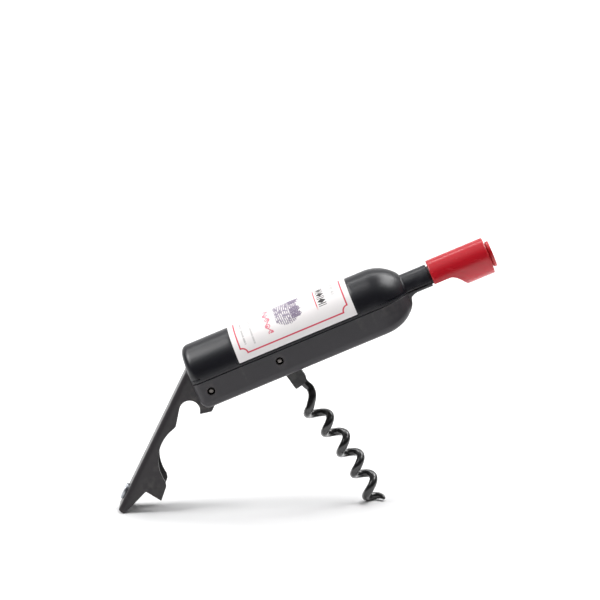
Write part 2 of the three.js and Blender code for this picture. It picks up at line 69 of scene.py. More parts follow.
def leaning(along, above, angle):
    """A point's offset in X and Z when its own axes lean by the angle."""
    return np.stack([along * np.cos(angle) - above * np.sin(angle),
                     along * np.sin(angle) + above * np.cos(angle)], -1)


lean = heading(worm_hinge - lever_hinge) - heading(WORM_PIN - LEVER_PIN)
bottle_base = lever_hinge - leaning(*(LEVER_PIN * MM), lean)


def set_down(points, origin, angle):
    """Millimetres along, across and above a leaning axis, as metres in the row frame."""
    along, across, above = np.moveaxis(np.asarray(points, float) * MM, -1, 0)
    flat = origin + leaning(along, above, angle)
    return np.stack([flat[..., 0], across, flat[..., 1]], -1)


def on_bottle(points):
    """Along the bottle from its base, across it, and above its axis."""
    return set_down(points, bottle_base, lean)


def on_lever(points):
    """Along the lever from its pin, across it, and above the pin with the lever folded."""
    return set_down(points, lever_hinge, lean - LEVER_TURN)


def on_worm(points):
    """Along the worm from its pin, across it, and above the pin with the worm folded."""
    return set_down(points, worm_hinge, lean - WORM_TURN)


# ---------------------------------------------------------------- camera
# Almost level with the table, square to the side of the bottle, from well back.
CAMERA_DISTANCE = 850
CAMERA_HEIGHT_ANGLE = np.radians(10.3)
CAMERA_SIDE_ANGLE = np.radians(0.93)
CAMERA_ROLL = np.radians(1.3)
CAMERA_AIM = (45.85, 0, 11)              # in the bottle's own axes
VIEW_WIDTH = 211.0                       # at the aimed point
SENSOR_WIDTH = 36

aim = Vector(on_bottle(CAMERA_AIM))
sight = Vector((np.sin(CAMERA_SIDE_ANGLE) * np.cos(CAMERA_HEIGHT_ANGLE),
                np.cos(CAMERA_SIDE_ANGLE) * np.cos(CAMERA_HEIGHT_ANGLE),
                -np.sin(CAMERA_HEIGHT_ANGLE)))
camera = bpy.data.objects.new("camera", bpy.data.cameras.new("camera"))
bpy.context.scene.collection.objects.link(camera)
camera.location = aim - sight * CAMERA_DISTANCE * MM
camera.rotation_euler = (sight.to_track_quat("-Z", "Y").to_matrix()
                         @ Matrix.Rotation(-CAMERA_ROLL, 3, "Z")).to_euler()
camera.data.sensor_width = SENSOR_WIDTH
camera.data.lens = SENSOR_WIDTH * CAMERA_DISTANCE / VIEW_WIDTH
camera.data.clip_start = 0.01
camera.data.clip_end = 50
bpy.context.scene.camera = camera
bpy.context.scene.view_settings.view_transform = "Standard"


# ---------------------------------------------------------------- studio
# A pale matt table top that curves up into a backdrop, a room that is bright above and behind,
# and three soft lights.
def new_material(name):
    """A material's node tree with its surface shader, ready for the rest of the nodes."""
    material = bpy.data.materials.new(name)
    material.use_nodes = True
    return material, material.node_tree, material.node_tree.nodes["Principled BSDF"]


def add_node(tree, kind, inputs=None, **settings):
    """A node with its settings made and its inputs linked to a socket or set to a value."""
    node = tree.nodes.new(kind)
    for key, value in settings.items():
        setattr(node, key, value)
    for key, value in (inputs or {}).items():
        if isinstance(value, bpy.types.NodeSocket):
            tree.links.new(value, node.inputs[key])
        else:
            node.inputs[key].default_value = value
    return node


def add_mesh(name, points, faces, material):
    """An object of the points and faces, smooth, with corner normals weighted by face area.

    A vertex normal is the sum of its faces' normals times their areas, so a flat stays flat
    and a small rounded edge beside it takes all of the turn.
    """
    mesh = bpy.data.meshes.new(name)
    mesh.from_pydata(np.asarray(points).reshape(-1, 3).tolist(), [], faces)
    mesh.validate()
    shape = bmesh.new()
    shape.from_mesh(mesh)
    if shape.calc_volume(signed=True) < 0:
        bmesh.ops.reverse_faces(shape, faces=shape.faces)
    shape.to_mesh(mesh)
    shape.free()
    weigh_normals(mesh)
    mesh.materials.append(material)
    piece = bpy.data.objects.new(name, mesh)
    bpy.context.scene.collection.objects.link(piece)
    return piece


def read(items, key, width=1, kind=float):
    """One property of every item of a mesh, as an array."""
    values = np.empty(len(items) * width, kind)
    items.foreach_get(key, values)
    return values.reshape(-1, width) if width > 1 else values


def weigh_normals(mesh):
    """Smooth shading with vertex normals weighted by the area of the faces round them."""
    faces = mesh.polygons
    faces.foreach_set("use_smooth", np.ones(len(faces), bool))
    pull = read(faces, "normal", 3) * read(faces, "area")[:, None]
    corners = read(mesh.loops, "vertex_index", kind=np.int32)
    total = np.zeros((len(mesh.vertices), 3))
    np.add.at(total, corners, np.repeat(pull, read(faces, "loop_total", kind=np.int32), axis=0))
    total /= np.maximum(np.linalg.norm(total, axis=1, keepdims=True), 1e-20)
    mesh.normals_split_custom_set_from_vertices(total.tolist())


def sheet_faces(rows, columns):
    """Quads over an open grid of rows and columns."""
    index = np.arange(rows * columns).reshape(rows, columns)
    quads = np.stack([index[:-1, :-1], index[:-1, 1:], index[1:, 1:], index[1:, :-1]], -1)
    return quads.reshape(-1, 4).tolist()


def make_backdrop():
    """A floor from front to back, a quarter circle, and a wall: a line carried sideways."""
    width, front, back, bend, height = 6.0, -4.0, 2.5, 1.5, 3.0
    turn = np.linspace(0, np.pi / 2, 24)
    depth = np.concatenate([[front, 0.5 * (front + back)], back + bend * np.sin(turn), [back + bend]])
    rise = np.concatenate([[0, 0], bend - bend * np.cos(turn), [height]])
    side = np.linspace(-width, width, 3)
    grid = np.stack(np.broadcast_arrays(side[None, :], depth[:, None], rise[:, None]), -1)
    return grid, sheet_faces(len(depth), len(side))


floor_paint, tree, shader = new_material("table_top")
speckle = add_node(tree, "ShaderNodeTexNoise", {"Scale": 900.0, "Detail": 3.0})
shade = add_node(tree, "ShaderNodeMapRange",
                 {"Value": speckle.outputs["Fac"], "To Min": 0.86, "To Max": 0.88})
tint = add_node(tree, "ShaderNodeCombineColor",
                {"Red": shade.outputs[0], "Green": shade.outputs[0], "Blue": shade.outputs[0]})
tree.links.new(tint.outputs[0], shader.inputs["Base Color"])
shader.inputs["Roughness"].default_value = 0.75
shader.inputs["Specular IOR Level"].default_value = 0.15
floor = add_mesh("backdrop", *make_backdrop(), floor_paint)

# The room is bright overhead and behind, and dim low down on the camera's side.
world = bpy.data.worlds.new("room")
world.use_nodes = True
room = world.node_tree
direction = add_node(room, "ShaderNodeTexCoord").outputs["Generated"]
towards_light = add_node(room, "ShaderNodeVectorMath", {0: direction, 1: (0.0, 0.6, 1.0)},
                         operation="DOT_PRODUCT")
glow = add_node(room, "ShaderNodeMapRange",
                {"Value": towards_light.outputs["Value"], "From Min": 0.0, "From Max": 0.85,
                 "To Min": 0.03, "To Max": 0.5}, interpolation_type="SMOOTHSTEP")
room.links.new(glow.outputs[0], room.nodes["Background"].inputs["Strength"])
room.nodes["Background"].inputs["Color"].default_value = (0.97, 0.98, 1, 1)
bpy.context.scene.world = world


def add_softbox(name, place, size, power, target=None):
    """A rectangular area light that looks at the bottle or at a target. Metres and watts."""
    lamp = bpy.data.lights.new(name, "AREA")
    lamp.shape = "RECTANGLE"
    lamp.size, lamp.size_y = size
    lamp.energy = power
    light = bpy.data.objects.new(name, lamp)
    light.location = place
    beam = Vector(target or aim) - Vector(place)
    light.rotation_euler = beam.to_track_quat("-Z", "Y").to_euler()
    bpy.context.scene.collection.objects.link(light)


add_softbox("softbox_left", (-0.85, -0.05, 1.0), (0.7, 0.6), 10.5)
add_softbox("softbox_right", (0.5, 0.1, 1.1), (0.9, 0.6), 10.5)
add_softbox("softbox_backdrop", (0.0, 1.2, 2.2), (3.5, 1.0), 90, (0.0, 3.4, 0.3))


# ---------------------------------------------------------------- front shell
# The front half of the bottle: a hollow moulding in satin black plastic with a shallow panel
# for the label. Screws in the floor of the rear housing pull the two halves together.
BODY_RADIUS = 11.85
BASE_ROUND = 2.8
SHOULDER = (70.0, 81.1)                  # where the shoulder starts and ends
SHOULDER_ROUND = 13.7
NECK_RADIUS = 5.55
NECK_END = 91.0
NECK_FILLET = 0.9                        # radius of the rounding where the shoulder meets the neck
NECK_FILLET_AT = SHOULDER[1] + 0.72      # where along the bottle its centre lies
SPIGOT_RADIUS, SPIGOT_END = 4.7, 108
SHELL_WALL = 1.45
SHELL_CORNER = 1.5                       # rounding inside the base wall
BASE_WALL = 2.2
SEAM = -0.55
MOUTH_HALF_WIDTH, MOUTH_TOP = 7.4, 3.4   # the opening in the base that the lever swings in
MOUTH_FLARE = 0.25
LABEL = (18.4, 62.9)
LABEL_LOW = 0.6                          # height of the label's long edges
LABEL_SEAT = 11.72
PANEL_STEP = (0.2, 0.08)                 # the panel sinks between these distances from the label


def arc(centre, radius, start, end, steps):
    """Points on a circle, or on an ellipse if the radius is a pair, between two angles in degrees."""
    turn = np.radians(np.linspace(start, end, steps))
    size = np.broadcast_to(radius, 2)
    return np.stack([centre[0] + size[0] * np.cos(turn), centre[1] + size[1] * np.sin(turn)], -1)


def soft_max(a, b, blend):
    """The larger of two values, rounded over where they are about as large."""
    return (a + b + np.sqrt((a - b) ** 2 + blend ** 2)) / 2


def bottle_profile():
    """The bottle's side from base to neck, as distance along and radius.

    The shoulder is a circle that leaves the body level and meets a small fillet at the neck.
    """
    shoulder = SHOULDER[0] + (SHOULDER[1] - SHOULDER[0]) * np.sin(np.linspace(0.02, np.pi / 2, 32))
    drop = SHOULDER_ROUND - np.sqrt(SHOULDER_ROUND ** 2 - (shoulder - SHOULDER[0]) ** 2)
    edges = [LABEL[0] - PANEL_STEP[0], LABEL[0] - PANEL_STEP[1],
             LABEL[1] + PANEL_STEP[1], LABEL[1] + PANEL_STEP[0]]
    body = np.sort(np.concatenate([np.linspace(BASE_ROUND + 1, SHOULDER[0] - 1, 40), edges]))
    return np.vstack([
        arc((BASE_ROUND, BODY_RADIUS - BASE_ROUND), BASE_ROUND, 180, 90, 12),
        np.stack([body, np.full_like(body, BODY_RADIUS)], -1),
        np.stack([shoulder, BODY_RADIUS - drop], -1),
        arc((NECK_FILLET_AT, NECK_RADIUS + NECK_FILLET), NECK_FILLET, 215, 270, 6),
    ])


def loft_faces(rings, around):
    """Quads between neighbouring closed rings, with the two end rings filled."""
    index = np.arange(rings * around).reshape(rings, around)
    near, far = index[:-1], index[1:]
    quads = np.stack([near, np.roll(near, -1, 1), np.roll(far, -1, 1), far], -1)
    return quads.reshape(-1, 4).tolist() + [index[0, ::-1].tolist(), index[-1].tolist()]


def make_front_shell():
    """Two half surfaces of revolution joined at their rims.

    At each distance along, the outside is a half circle of the profile's radius, less the label
    panel's depth where the panel is. The inside is a half circle one wall smaller, and in the
    base wall it is the mouth's rectangle, given by its distance from the axis at each angle.
    Below the seam both are lifted to it by a rounded maximum.
    """
    neck = np.array([[NECK_END - 0.25, NECK_RADIUS], [NECK_END - 0.07, NECK_RADIUS - 0.07],
                     [NECK_END, NECK_RADIUS - 0.25], [NECK_END, SPIGOT_RADIUS],
                     [SPIGOT_END - 0.4, SPIGOT_RADIUS], [SPIGOT_END, SPIGOT_RADIUS - 0.4]])
    profile = np.vstack([bottle_profile(), neck])
    wall_stations = np.array([[BASE_WALL - 0.01, 0], [BASE_WALL + 0.01, 0], [BASE_WALL + SHELL_CORNER, 0]])
    wall_stations[:, 1] = np.interp(wall_stations[:, 0], profile[:, 0], profile[:, 1])
    profile = np.vstack([profile, wall_stations])
    profile = profile[np.argsort(profile[:, 0], kind="stable")]
    along, radius = profile.T[:, :, None]
    panel_angle = np.degrees(np.arcsin((LABEL_LOW - 0.15) / BODY_RADIUS))
    half = np.concatenate([[-2.2, -1.2, -0.5, 0, 0.8, 2.5, 4.5, panel_angle, panel_angle + 0.5],
                           np.linspace(panel_angle + 2.5, 90, 34)])
    turn = np.radians(np.concatenate([half, 180 - half[-2::-1]]))[None, :]

    inward = np.minimum(along - LABEL[0] + PANEL_STEP[0], LABEL[1] + PANEL_STEP[0] - along)
    in_length = np.clip(inward / (PANEL_STEP[0] - PANEL_STEP[1]), 0, 1)
    in_width = np.clip((np.degrees(np.minimum(turn, np.pi - turn)) - panel_angle) / 0.5, 0, 1)
    outside = radius - (BODY_RADIUS - LABEL_SEAT) * in_length * in_width

    mouth = np.minimum(MOUTH_HALF_WIDTH / np.abs(np.cos(turn)).clip(1e-6),
                       MOUTH_TOP / np.sin(turn).clip(1e-6))
    mouth = mouth + MOUTH_FLARE * np.clip(1 - along / MOUTH_FLARE, 0, 1)
    hollow = np.minimum(radius - SHELL_WALL, BODY_RADIUS - SHELL_WALL)
    corner = SHELL_CORNER * np.clip(1 - (along - BASE_WALL) / SHELL_CORNER, 0, 1) ** 2
    inside = np.where(along < BASE_WALL, mouth, hollow - corner)
    inside = np.where(along > NECK_END - SHELL_WALL, 0.4, inside)

    def half_ring(distance, blend):
        across = distance * np.cos(turn)
        above = soft_max(distance * np.sin(turn), SEAM, blend)
        return np.stack(np.broadcast_arrays(along, across, above), -1)

    rings = np.concatenate([half_ring(outside, 0.12), half_ring(inside, 0.02)[:, ::-1]], axis=1)
    return on_bottle(rings), loft_faces(*rings.shape[:2])


class Wire:
    """A number that flows between nodes. Arithmetic on it adds the Math nodes that work it out."""

    def __init__(self, tree, socket):
        self.tree, self.socket = tree, socket

    def math(self, operation, *others):
        node = self.tree.nodes.new("ShaderNodeMath")
        node.operation = operation
        for slot, value in zip(node.inputs, (self, *others)):
            if isinstance(value, Wire):
                self.tree.links.new(value.socket, slot)
            else:
                slot.default_value = value
        return Wire(self.tree, node.outputs[0])

    def __add__(self, other):
        return self.math("ADD", other)

    def __sub__(self, other):
        return self.math("SUBTRACT", other)

    def __mul__(self, other):
        return self.math("MULTIPLY", other)

    def __truediv__(self, other):
        return self.math("DIVIDE", other)

    def __neg__(self):
        return self.math("MULTIPLY", -1.0)

    def __abs__(self):
        return self.math("ABSOLUTE")

    def ramp(self, low, high):
        """0 below low, 1 above high, and straight between them. High may be the smaller."""
        node = self.tree.nodes.new("ShaderNodeMapRange")
        self.tree.links.new(self.socket, node.inputs["Value"])
        node.inputs["From Min"].default_value = low
        node.inputs["From Max"].default_value = high
        return Wire(self.tree, node.outputs[0])


def new_group(name, inputs, outputs):
    """A shader node group with sockets of the given kinds, and its two end nodes."""
    group = bpy.data.node_groups.new(name, "ShaderNodeTree")
    for direction, sockets in (("INPUT", inputs), ("OUTPUT", outputs)):
        for socket, (kind, value) in sockets.items():
            made = group.interface.new_socket(socket, in_out=direction, socket_type=kind)
            if value is not None:
                made.default_value = value
    return group, group.nodes.new("NodeGroupInput"), group.nodes.new("NodeGroupOutput")


NUMBER, COLOUR = "NodeSocketFloat", "NodeSocketColor"


def make_handled_finish():
    """How a moulded or coated surface looks after some use.

    Fine grain raises the surface, broad clouds shift its shade and gloss, thin scuffs dull it
    in two crossing directions, and the rounded edges are paler where fingers have polished them.
    """
    group, given, result = new_group(
        "handled_finish",
        {"Color": (COLOUR, (0.02, 0.02, 0.02, 1)), "Worn Color": (COLOUR, (0.1, 0.1, 0.1, 1)),
         "Roughness": (NUMBER, 0.4), "Grain Per Metre": (NUMBER, 3000.0),
         "Clouds": (NUMBER, 0.1), "Scuffs": (NUMBER, 0.2), "Edge Wear": (NUMBER, 0.3)},
        {"Color": (COLOUR, None), "Roughness": (NUMBER, None), "Height": (NUMBER, None)})

    def take(name):
        return Wire(group, given.outputs[name])

    place = add_node(group, "ShaderNodeTexCoord").outputs["Object"]

    grain = add_node(group, "ShaderNodeTexNoise",
                     {"Vector": place, "Scale": given.outputs["Grain Per Metre"],
                      "Detail": 4.0, "Roughness": 0.6})
    clouds = add_node(group, "ShaderNodeTexNoise", {"Vector": place, "Scale": 90.0, "Detail": 3.0})
    cloud = Wire(group, clouds.outputs["Fac"]) - 0.5

    marks = []
    for tilt in (0.5, -0.9):
        turned = add_node(group, "ShaderNodeMapping",
                          {"Vector": place, "Rotation": (0.3, tilt, 0.2), "Scale": (90.0, 1400.0, 1400.0)})
        streak = add_node(group, "ShaderNodeTexNoise",
                          {"Vector": turned.outputs[0], "Scale": 1.0, "Detail": 2.0})
        marks.append(Wire(group, streak.outputs["Fac"]).ramp(0.66, 0.74))
    scuff = marks[0].math("MAXIMUM", marks[1]) * take("Scuffs")

    edge = add_node(group, "ShaderNodeAttribute", attribute_name="edge")
    patchy = add_node(group, "ShaderNodeTexNoise", {"Vector": place, "Scale": 500.0, "Detail": 4.0})
    wear = Wire(group, edge.outputs["Fac"]) * Wire(group, patchy.outputs["Fac"]).ramp(0.4, 0.62)
    wear = wear * take("Edge Wear")

    shade = cloud * take("Clouds") * 2.0 + 1.0
    clouded = add_node(group, "ShaderNodeVectorMath",
                       {"Vector": given.outputs["Color"], "Scale": shade.socket}, operation="SCALE")
    pale = wear.math("MAXIMUM", scuff * 0.35)
    worn = add_node(group, "ShaderNodeMix", {"Factor": pale.socket, "A": clouded.outputs[0],
                                             "B": given.outputs["Worn Color"]}, data_type="RGBA")
    rough = take("Roughness") + cloud * take("Clouds") + scuff * 0.18 - wear * 0.1
    group.links.new(worn.outputs["Result"], result.inputs["Color"])
    group.links.new(rough.socket, result.inputs["Roughness"])
    group.links.new((Wire(group, grain.outputs["Fac"]) - scuff * 0.3).socket, result.inputs["Height"])
    return group


handled_finish = make_handled_finish()


def finished_material(name, values, relief, **shading):
    """A material whose colour, gloss and relief come from the handled finish with its own values.

    Relief is the height of the grain in metres, and shading holds the shader's plain settings.
    """
    material, tree, shader = new_material(name)
    look = add_node(tree, "ShaderNodeGroup", values, node_tree=handled_finish)
    bump = add_node(tree, "ShaderNodeBump", {"Height": look.outputs["Height"], "Distance": relief})
    tree.links.new(look.outputs["Color"], shader.inputs["Base Color"])
    tree.links.new(look.outputs["Roughness"], shader.inputs["Roughness"])
    tree.links.new(bump.outputs["Normal"], shader.inputs["Normal"])
    for key, value in shading.items():
        shader.inputs[key.replace("_", " ")].default_value = value
    return material


def mark_edges(piece, tight=0.9, slack=3.0):
    """Stores how sharply the surface bends at each vertex, as the attribute that wear follows.

    A face's normal turns away from the vertex's by an angle. Over the distance from the vertex
    to the face's middle that gives a curvature per millimetre, and slack to tight radii in
    millimetres become 0 to 1.
    """
    mesh = piece.data
    corners = read(mesh.loops, "vertex_index", kind=np.int32)
    sizes = read(mesh.polygons, "loop_total", kind=np.int32)
    places = read(mesh.vertices, "co", 3)
    middles = np.repeat(read(mesh.polygons, "center", 3), sizes, axis=0)
    normals = np.repeat(read(mesh.polygons, "normal", 3), sizes, axis=0)
    own = read(mesh.vertices, "normal", 3)[corners]
    turn = np.arccos(np.clip((normals * own).sum(1), -1, 1))
    reach = np.linalg.norm(places[corners] - middles, axis=1) / MM
    bend = np.zeros(len(places))
    np.maximum.at(bend, corners, turn / np.maximum(reach, 0.05))
    share = np.clip((bend - 1 / slack) / (1 / tight - 1 / slack), 0, 1)
    edge = mesh.attributes.new("edge", "FLOAT", "POINT")
    edge.data.foreach_set("value", share.astype(np.float32))


shell_plastic = finished_material(
    "shell_plastic",
    {"Color": (0.0075, 0.0075, 0.0105, 1), "Worn Color": (0.07, 0.07, 0.075, 1), "Roughness": 0.30,
     "Grain Per Metre": 2600.0, "Clouds": 0.05, "Scuffs": 0.12, "Edge Wear": 0.25},
    0.00004, Specular_IOR_Level=0.5)
front_shell = add_mesh("front_shell_moulding", *make_front_shell(), shell_plastic)
mark_edges(front_shell)
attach(front_shell, "bottle")
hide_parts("front_shell")

# ---------------------------------------------------------------- label
# A printed film stuck into the shallow panel. Its own map runs along the bottle from the
# label's lower edge and round the bottle from the middle of the front, both in millimetres.
LABEL_OUTER = 11.95
LABEL_LENGTH = LABEL[1] - LABEL[0]


def make_label():
    """A thin shell between two radii, as closed rings round its edge, carried along the bottle.

    The radius carries a slow ripple of a few hundredths of a millimetre, as stuck film has.
    """
    reach = np.pi / 2 - np.arcsin(LABEL_LOW / LABEL_OUTER)
    along = np.concatenate([[0, 0.04], np.linspace(0.12, LABEL_LENGTH - 0.12, 120),
                            [LABEL_LENGTH - 0.04, LABEL_LENGTH]])[:, None]
    turn = np.linspace(-reach, reach, 110)[None, :]
    ripple = 0.015 * np.sin(along * 0.5 + 2 * turn) * np.sin(along * 0.21 - 3 * turn)
    ends = np.minimum(along, LABEL_LENGTH - along).clip(0, 0.12)
    outer = LABEL_OUTER - 0.06 * (1 - ends / 0.12) ** 2 + ripple
    inner = np.full_like(outer, LABEL_SEAT + 0.01)

    def strip(radius):
        return np.stack(np.broadcast_arrays(along + LABEL[0], -radius * np.sin(turn),
                                            radius * np.cos(turn)), -1)

    rings = np.concatenate([strip(outer), strip(inner)[:, ::-1]], axis=1)
    round_label = np.concatenate([turn, turn[:, ::-1]], axis=1) * LABEL_OUTER
    spots = np.stack(np.broadcast_arrays(along, round_label), -1)
    return on_bottle(rings), loft_faces(*rings.shape[:2]), spots.reshape(-1, 2)


def make_label_print():
    """The print: a red frame with scooped corners, ornament rows, a flourish and a small view.

    Everything is a distance or a repeat in the label's own millimetres, with no lettering.
    """
    group, given, result = new_group("label_print", {}, {"Color": (COLOUR, None), "Ink": (NUMBER, None),
                                                         "Height": (NUMBER, None)})
    uv = add_node(group, "ShaderNodeUVMap", uv_map="label_mm")
    parts = add_node(group, "ShaderNodeSeparateXYZ", {"Vector": uv.outputs["UV"]})
    up, side = Wire(group, parts.outputs["X"]), Wire(group, parts.outputs["Y"])

    def noise(scale, detail=2.0, stretch=(1.0, 1.0, 1.0)):
        turned = add_node(group, "ShaderNodeMapping", {"Vector": uv.outputs["UV"], "Scale": stretch})
        made = add_node(group, "ShaderNodeTexNoise",
                        {"Vector": turned.outputs[0], "Scale": scale, "Detail": detail})
        return Wire(group, made.outputs["Fac"])

    def line(distance, half_width, soft=0.06):
        return abs(distance).ramp(half_width + soft, half_width - soft)

    def both(*masks):
        shared = masks[0]
        for mask in masks[1:]:
            shared = shared * mask
        return shared

    def either(*masks):
        joined = masks[0]
        for mask in masks[1:]:
            joined = joined.math("MAXIMUM", mask)
        return joined

    def every(value, pitch):
        """The distance from the nearest whole number of pitches."""
        return (value + 500 * pitch).math("MODULO", pitch) - pitch / 2

    def within(value, low, high):
        return both(value.ramp(low - 0.05, low + 0.05), value.ramp(high + 0.05, high - 0.05))

    middle, frame_up, frame_side, scoop = LABEL_LENGTH / 2, 20.1, 15.75, 2.1
    from_middle, aside = abs(up - middle), abs(side)
    outside_box = (from_middle - frame_up).math("MAXIMUM", aside - frame_side)
    corner = ((from_middle - frame_up).math("POWER", 2.0)
              + (aside - frame_side).math("POWER", 2.0)).math("SQRT")
    border = line(outside_box.math("MAXIMUM", -corner + scoop), 0.25)

    title_at, title_pitch, rule_at = 34.6, 3.3, 32.4
    cell, row = every(side, title_pitch), up - title_at
    lozenge = (abs(cell) + abs(row) * 0.62).ramp(1.05, 0.95)
    bars = both(line(abs(every(side + title_pitch / 2, title_pitch)) - 0.42, 0.2), line(row, 1.45))
    title = both(either(lozenge, bars), within(aside, -1, 10.4))
    rule = both(line(up - rule_at, 0.19), aside.ramp(11.5, 9.5))

    def broken(at, half, pitch, edge):
        """A fine row of print with gaps in it."""
        return both(line(up - at, half), noise(pitch, 1.0, (0.05, 1.0, 1.0)).ramp(0.42, 0.5),
                    within(aside, -1, edge))

    small_row = broken(39.2, 0.62, 2.4, 7.6)
    fine_rows = either(broken(4.5, 0.32, 1.9, 12.8) * 0.75, broken(7.7, 0.3, 0.8, 13.8) * 0.6)

    flourish_at, wave_pitch = 14.1, 5.464
    wave = (side * 1.15).math("SINE") * 0.75
    stem = line(up - flourish_at - wave, 0.27)
    curls = []
    for shift, lift in ((0.0, 0.25), (wave_pitch / 2, -0.25)):
        from_curl = (every(side + shift - wave_pitch / 4, wave_pitch).math("POWER", 2.0)
                     + (up - flourish_at + lift).math("POWER", 2.0)).math("SQRT")
        curls += [line(from_curl - 0.8, 0.17), from_curl.ramp(0.4, 0.3)]
    flourish = both(either(stem, *curls), within(aside, -1, 12.6))

    ragged = noise(1.1, 4.0) - 0.5
    hill = ((up - 21.5) / 7.5).math("POWER", 2.0) + (side / 12.2).math("POWER", 2.0) + ragged * 0.35
    ground = both(hill.ramp(1.0, 0.93), within(up, 17.2, 25.8))
    rows_of_vines = every(up + (side * 0.25).math("SINE") * 0.5 + ragged * 0.5, 0.72)
    tone = noise(0.8, 3.0)
    hatch = both(ground, abs(rows_of_vines).ramp(0.31, 0.1).math("MAXIMUM", tone.ramp(0.5, 0.58)))
    crowns = noise(0.9, 4.0) * 6.0 + 23.5
    trees = both((crowns - up).ramp(0.0, 0.3), up.ramp(22.5, 23.0), within(abs(side - 4.5), 1.2, 6.0),
                 noise(3.0, 3.0).ramp(0.36, 0.46))
    wall = both(within(up, 22.5, 26.2), within(side, -5.4, 0.6), (noise(2.5, 2.0) * 0.4).ramp(0.1, 0.2))
    windows = both(line(every(side + 5.6, 1.5), 0.3), line(up - 24.6, 0.55))
    roof = both((abs(side + 2.4) * 0.55 + up - 26.0).ramp(2.1, 2.0), up.ramp(26.1, 26.25))
    view = either(hatch * 0.85, trees, wall * 0.3, both(wall, windows), roof * 0.9)

    fibre = noise(3.0, 5.0, (1.0, 0.4, 1.0))
    shade = (fibre - 0.5) * 0.05 + (noise(0.12) - 0.5) * 0.06 + 1.0
    film = add_node(group, "ShaderNodeVectorMath", {"Vector": (0.90, 0.865, 0.86), "Scale": shade.socket},
                    operation="SCALE").outputs[0]
    inks = ((border, (0.66, 0.035, 0.075, 1)), (rule, (0.70, 0.06, 0.09, 1)),
            (flourish * 0.85, (0.72, 0.09, 0.16, 1)), (view, (0.16, 0.115, 0.20, 1)),
            (fine_rows * 0.7, (0.24, 0.22, 0.22, 1)),
            (small_row * 0.55, (0.2, 0.2, 0.19, 1)), (title, (0.025, 0.02, 0.022, 1)))
    for mask, ink in inks:
        film = add_node(group, "ShaderNodeMix", {"Factor": mask.socket, "A": film, "B": ink},
                        data_type="RGBA").outputs["Result"]
    printed = either(border, rule, flourish, title)
    group.links.new(film, result.inputs["Color"])
    group.links.new(printed.socket, result.inputs["Ink"])
    group.links.new((fibre * 0.3 + printed * 0.7).socket, result.inputs["Height"])
    return group


label_film, tree, shader = new_material("label_film")
printing = add_node(tree, "ShaderNodeGroup", node_tree=make_label_print())
gloss = Wire(tree, printing.outputs["Ink"]) * -0.12 + 0.46
bump = add_node(tree, "ShaderNodeBump", {"Height": printing.outputs["Height"], "Distance": 0.00001})
tree.links.new(printing.outputs["Color"], shader.inputs["Base Color"])
tree.links.new(gloss.socket, shader.inputs["Roughness"])
tree.links.new(bump.outputs["Normal"], shader.inputs["Normal"])

points, faces, spots = make_label()
label = add_mesh("label_film", points, faces, label_film)
label_map = label.data.uv_layers.new(name="label_mm")
corners = read(label.data.loops, "vertex_index", kind=np.int32)
label_map.data.foreach_set("uv", spots[corners].astype(np.float32).ravel())
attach(label, "bottle")
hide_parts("label")

# ---------------------------------------------------------------- capsule
# The red cap over the neck's spigot: a glossy moulding with a flat, scooped back for a
# fingertip, and a disc on its end that stands for the bottle's lip.
CAPSULE = (91.6, 112.9)
CAPSULE_RADIUS = 6.6
CAPSULE_FLAT = 1.2
SCOOP = (97.2, 102.6)
LIP_RADIUS = 4.7
BOTTLE_END = 114.5


def make_capsule():
    """Circles along the bottle, cut off below by a line that drops away along the scoop.

    The cut's depth is constant as far as the scoop, then follows a parabola down to the side.
    """
    body = np.concatenate([np.linspace(CAPSULE[0] + 0.6, SCOOP[0] - 0.3, 14),
                           np.linspace(SCOOP[0], SCOOP[1] + 0.4, 56),
                           np.linspace(SCOOP[1] + 0.8, CAPSULE[1] - 0.6, 18)])
    low_lip = LIP_RADIUS - 0.5
    profile = np.vstack([
        [[CAPSULE[0], 0.05]],
        arc((CAPSULE[0] + 0.4, CAPSULE_RADIUS - 0.4), 0.4, 180, 90, 7),
        np.stack([body, np.full_like(body, CAPSULE_RADIUS)], -1),
        arc((CAPSULE[1] - 0.45, CAPSULE_RADIUS - 0.45), 0.45, 90, 0, 8),
        arc((CAPSULE[1] + 0.2, low_lip + 0.2), 0.2, 180, 270, 5),
        arc((CAPSULE[1] + 0.65, LIP_RADIUS - 0.25), 0.25, 180, 90, 6),
        arc((BOTTLE_END - 0.3, LIP_RADIUS - 0.3), 0.3, 90, 0, 7),
        [[BOTTLE_END, LIP_RADIUS - 1.2], [BOTTLE_END - 0.12, LIP_RADIUS - 1.5], [BOTTLE_END - 0.12, 0.05]],
    ])
    along, radius = profile.T[:, :, None]
    turn = np.linspace(0, 2 * np.pi, 192, endpoint=False)[None, :]
    fall = np.clip((along - SCOOP[0]) / (SCOOP[1] - SCOOP[0]), 0, 1.3)
    depth = CAPSULE_FLAT + (CAPSULE_RADIUS - CAPSULE_FLAT) * fall ** 2
    above = soft_max(radius * np.sin(turn), -depth, 0.16)
    above = np.where(along > SCOOP[1] + 1.0, radius * np.sin(turn), above)
    rings = np.stack(np.broadcast_arrays(along, radius * np.cos(turn), above), -1)
    return on_bottle(rings), loft_faces(*rings.shape[:2])


capsule_plastic = finished_material(
    "capsule_plastic",
    {"Color": (0.50, 0.008, 0.018, 1), "Worn Color": (0.75, 0.12, 0.10, 1), "Roughness": 0.26,
     "Grain Per Metre": 1200.0, "Clouds": 0.05, "Scuffs": 0.10, "Edge Wear": 0.25},
    0.00002, Coat_Weight=0.15, Coat_Roughness=0.12, Subsurface_Weight=0.08,
    Subsurface_Radius=(0.002, 0.0004, 0.0003))
capsule = add_mesh("capsule_moulding", *make_capsule(), capsule_plastic)
mark_edges(capsule)
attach(capsule, "bottle")
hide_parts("capsule")

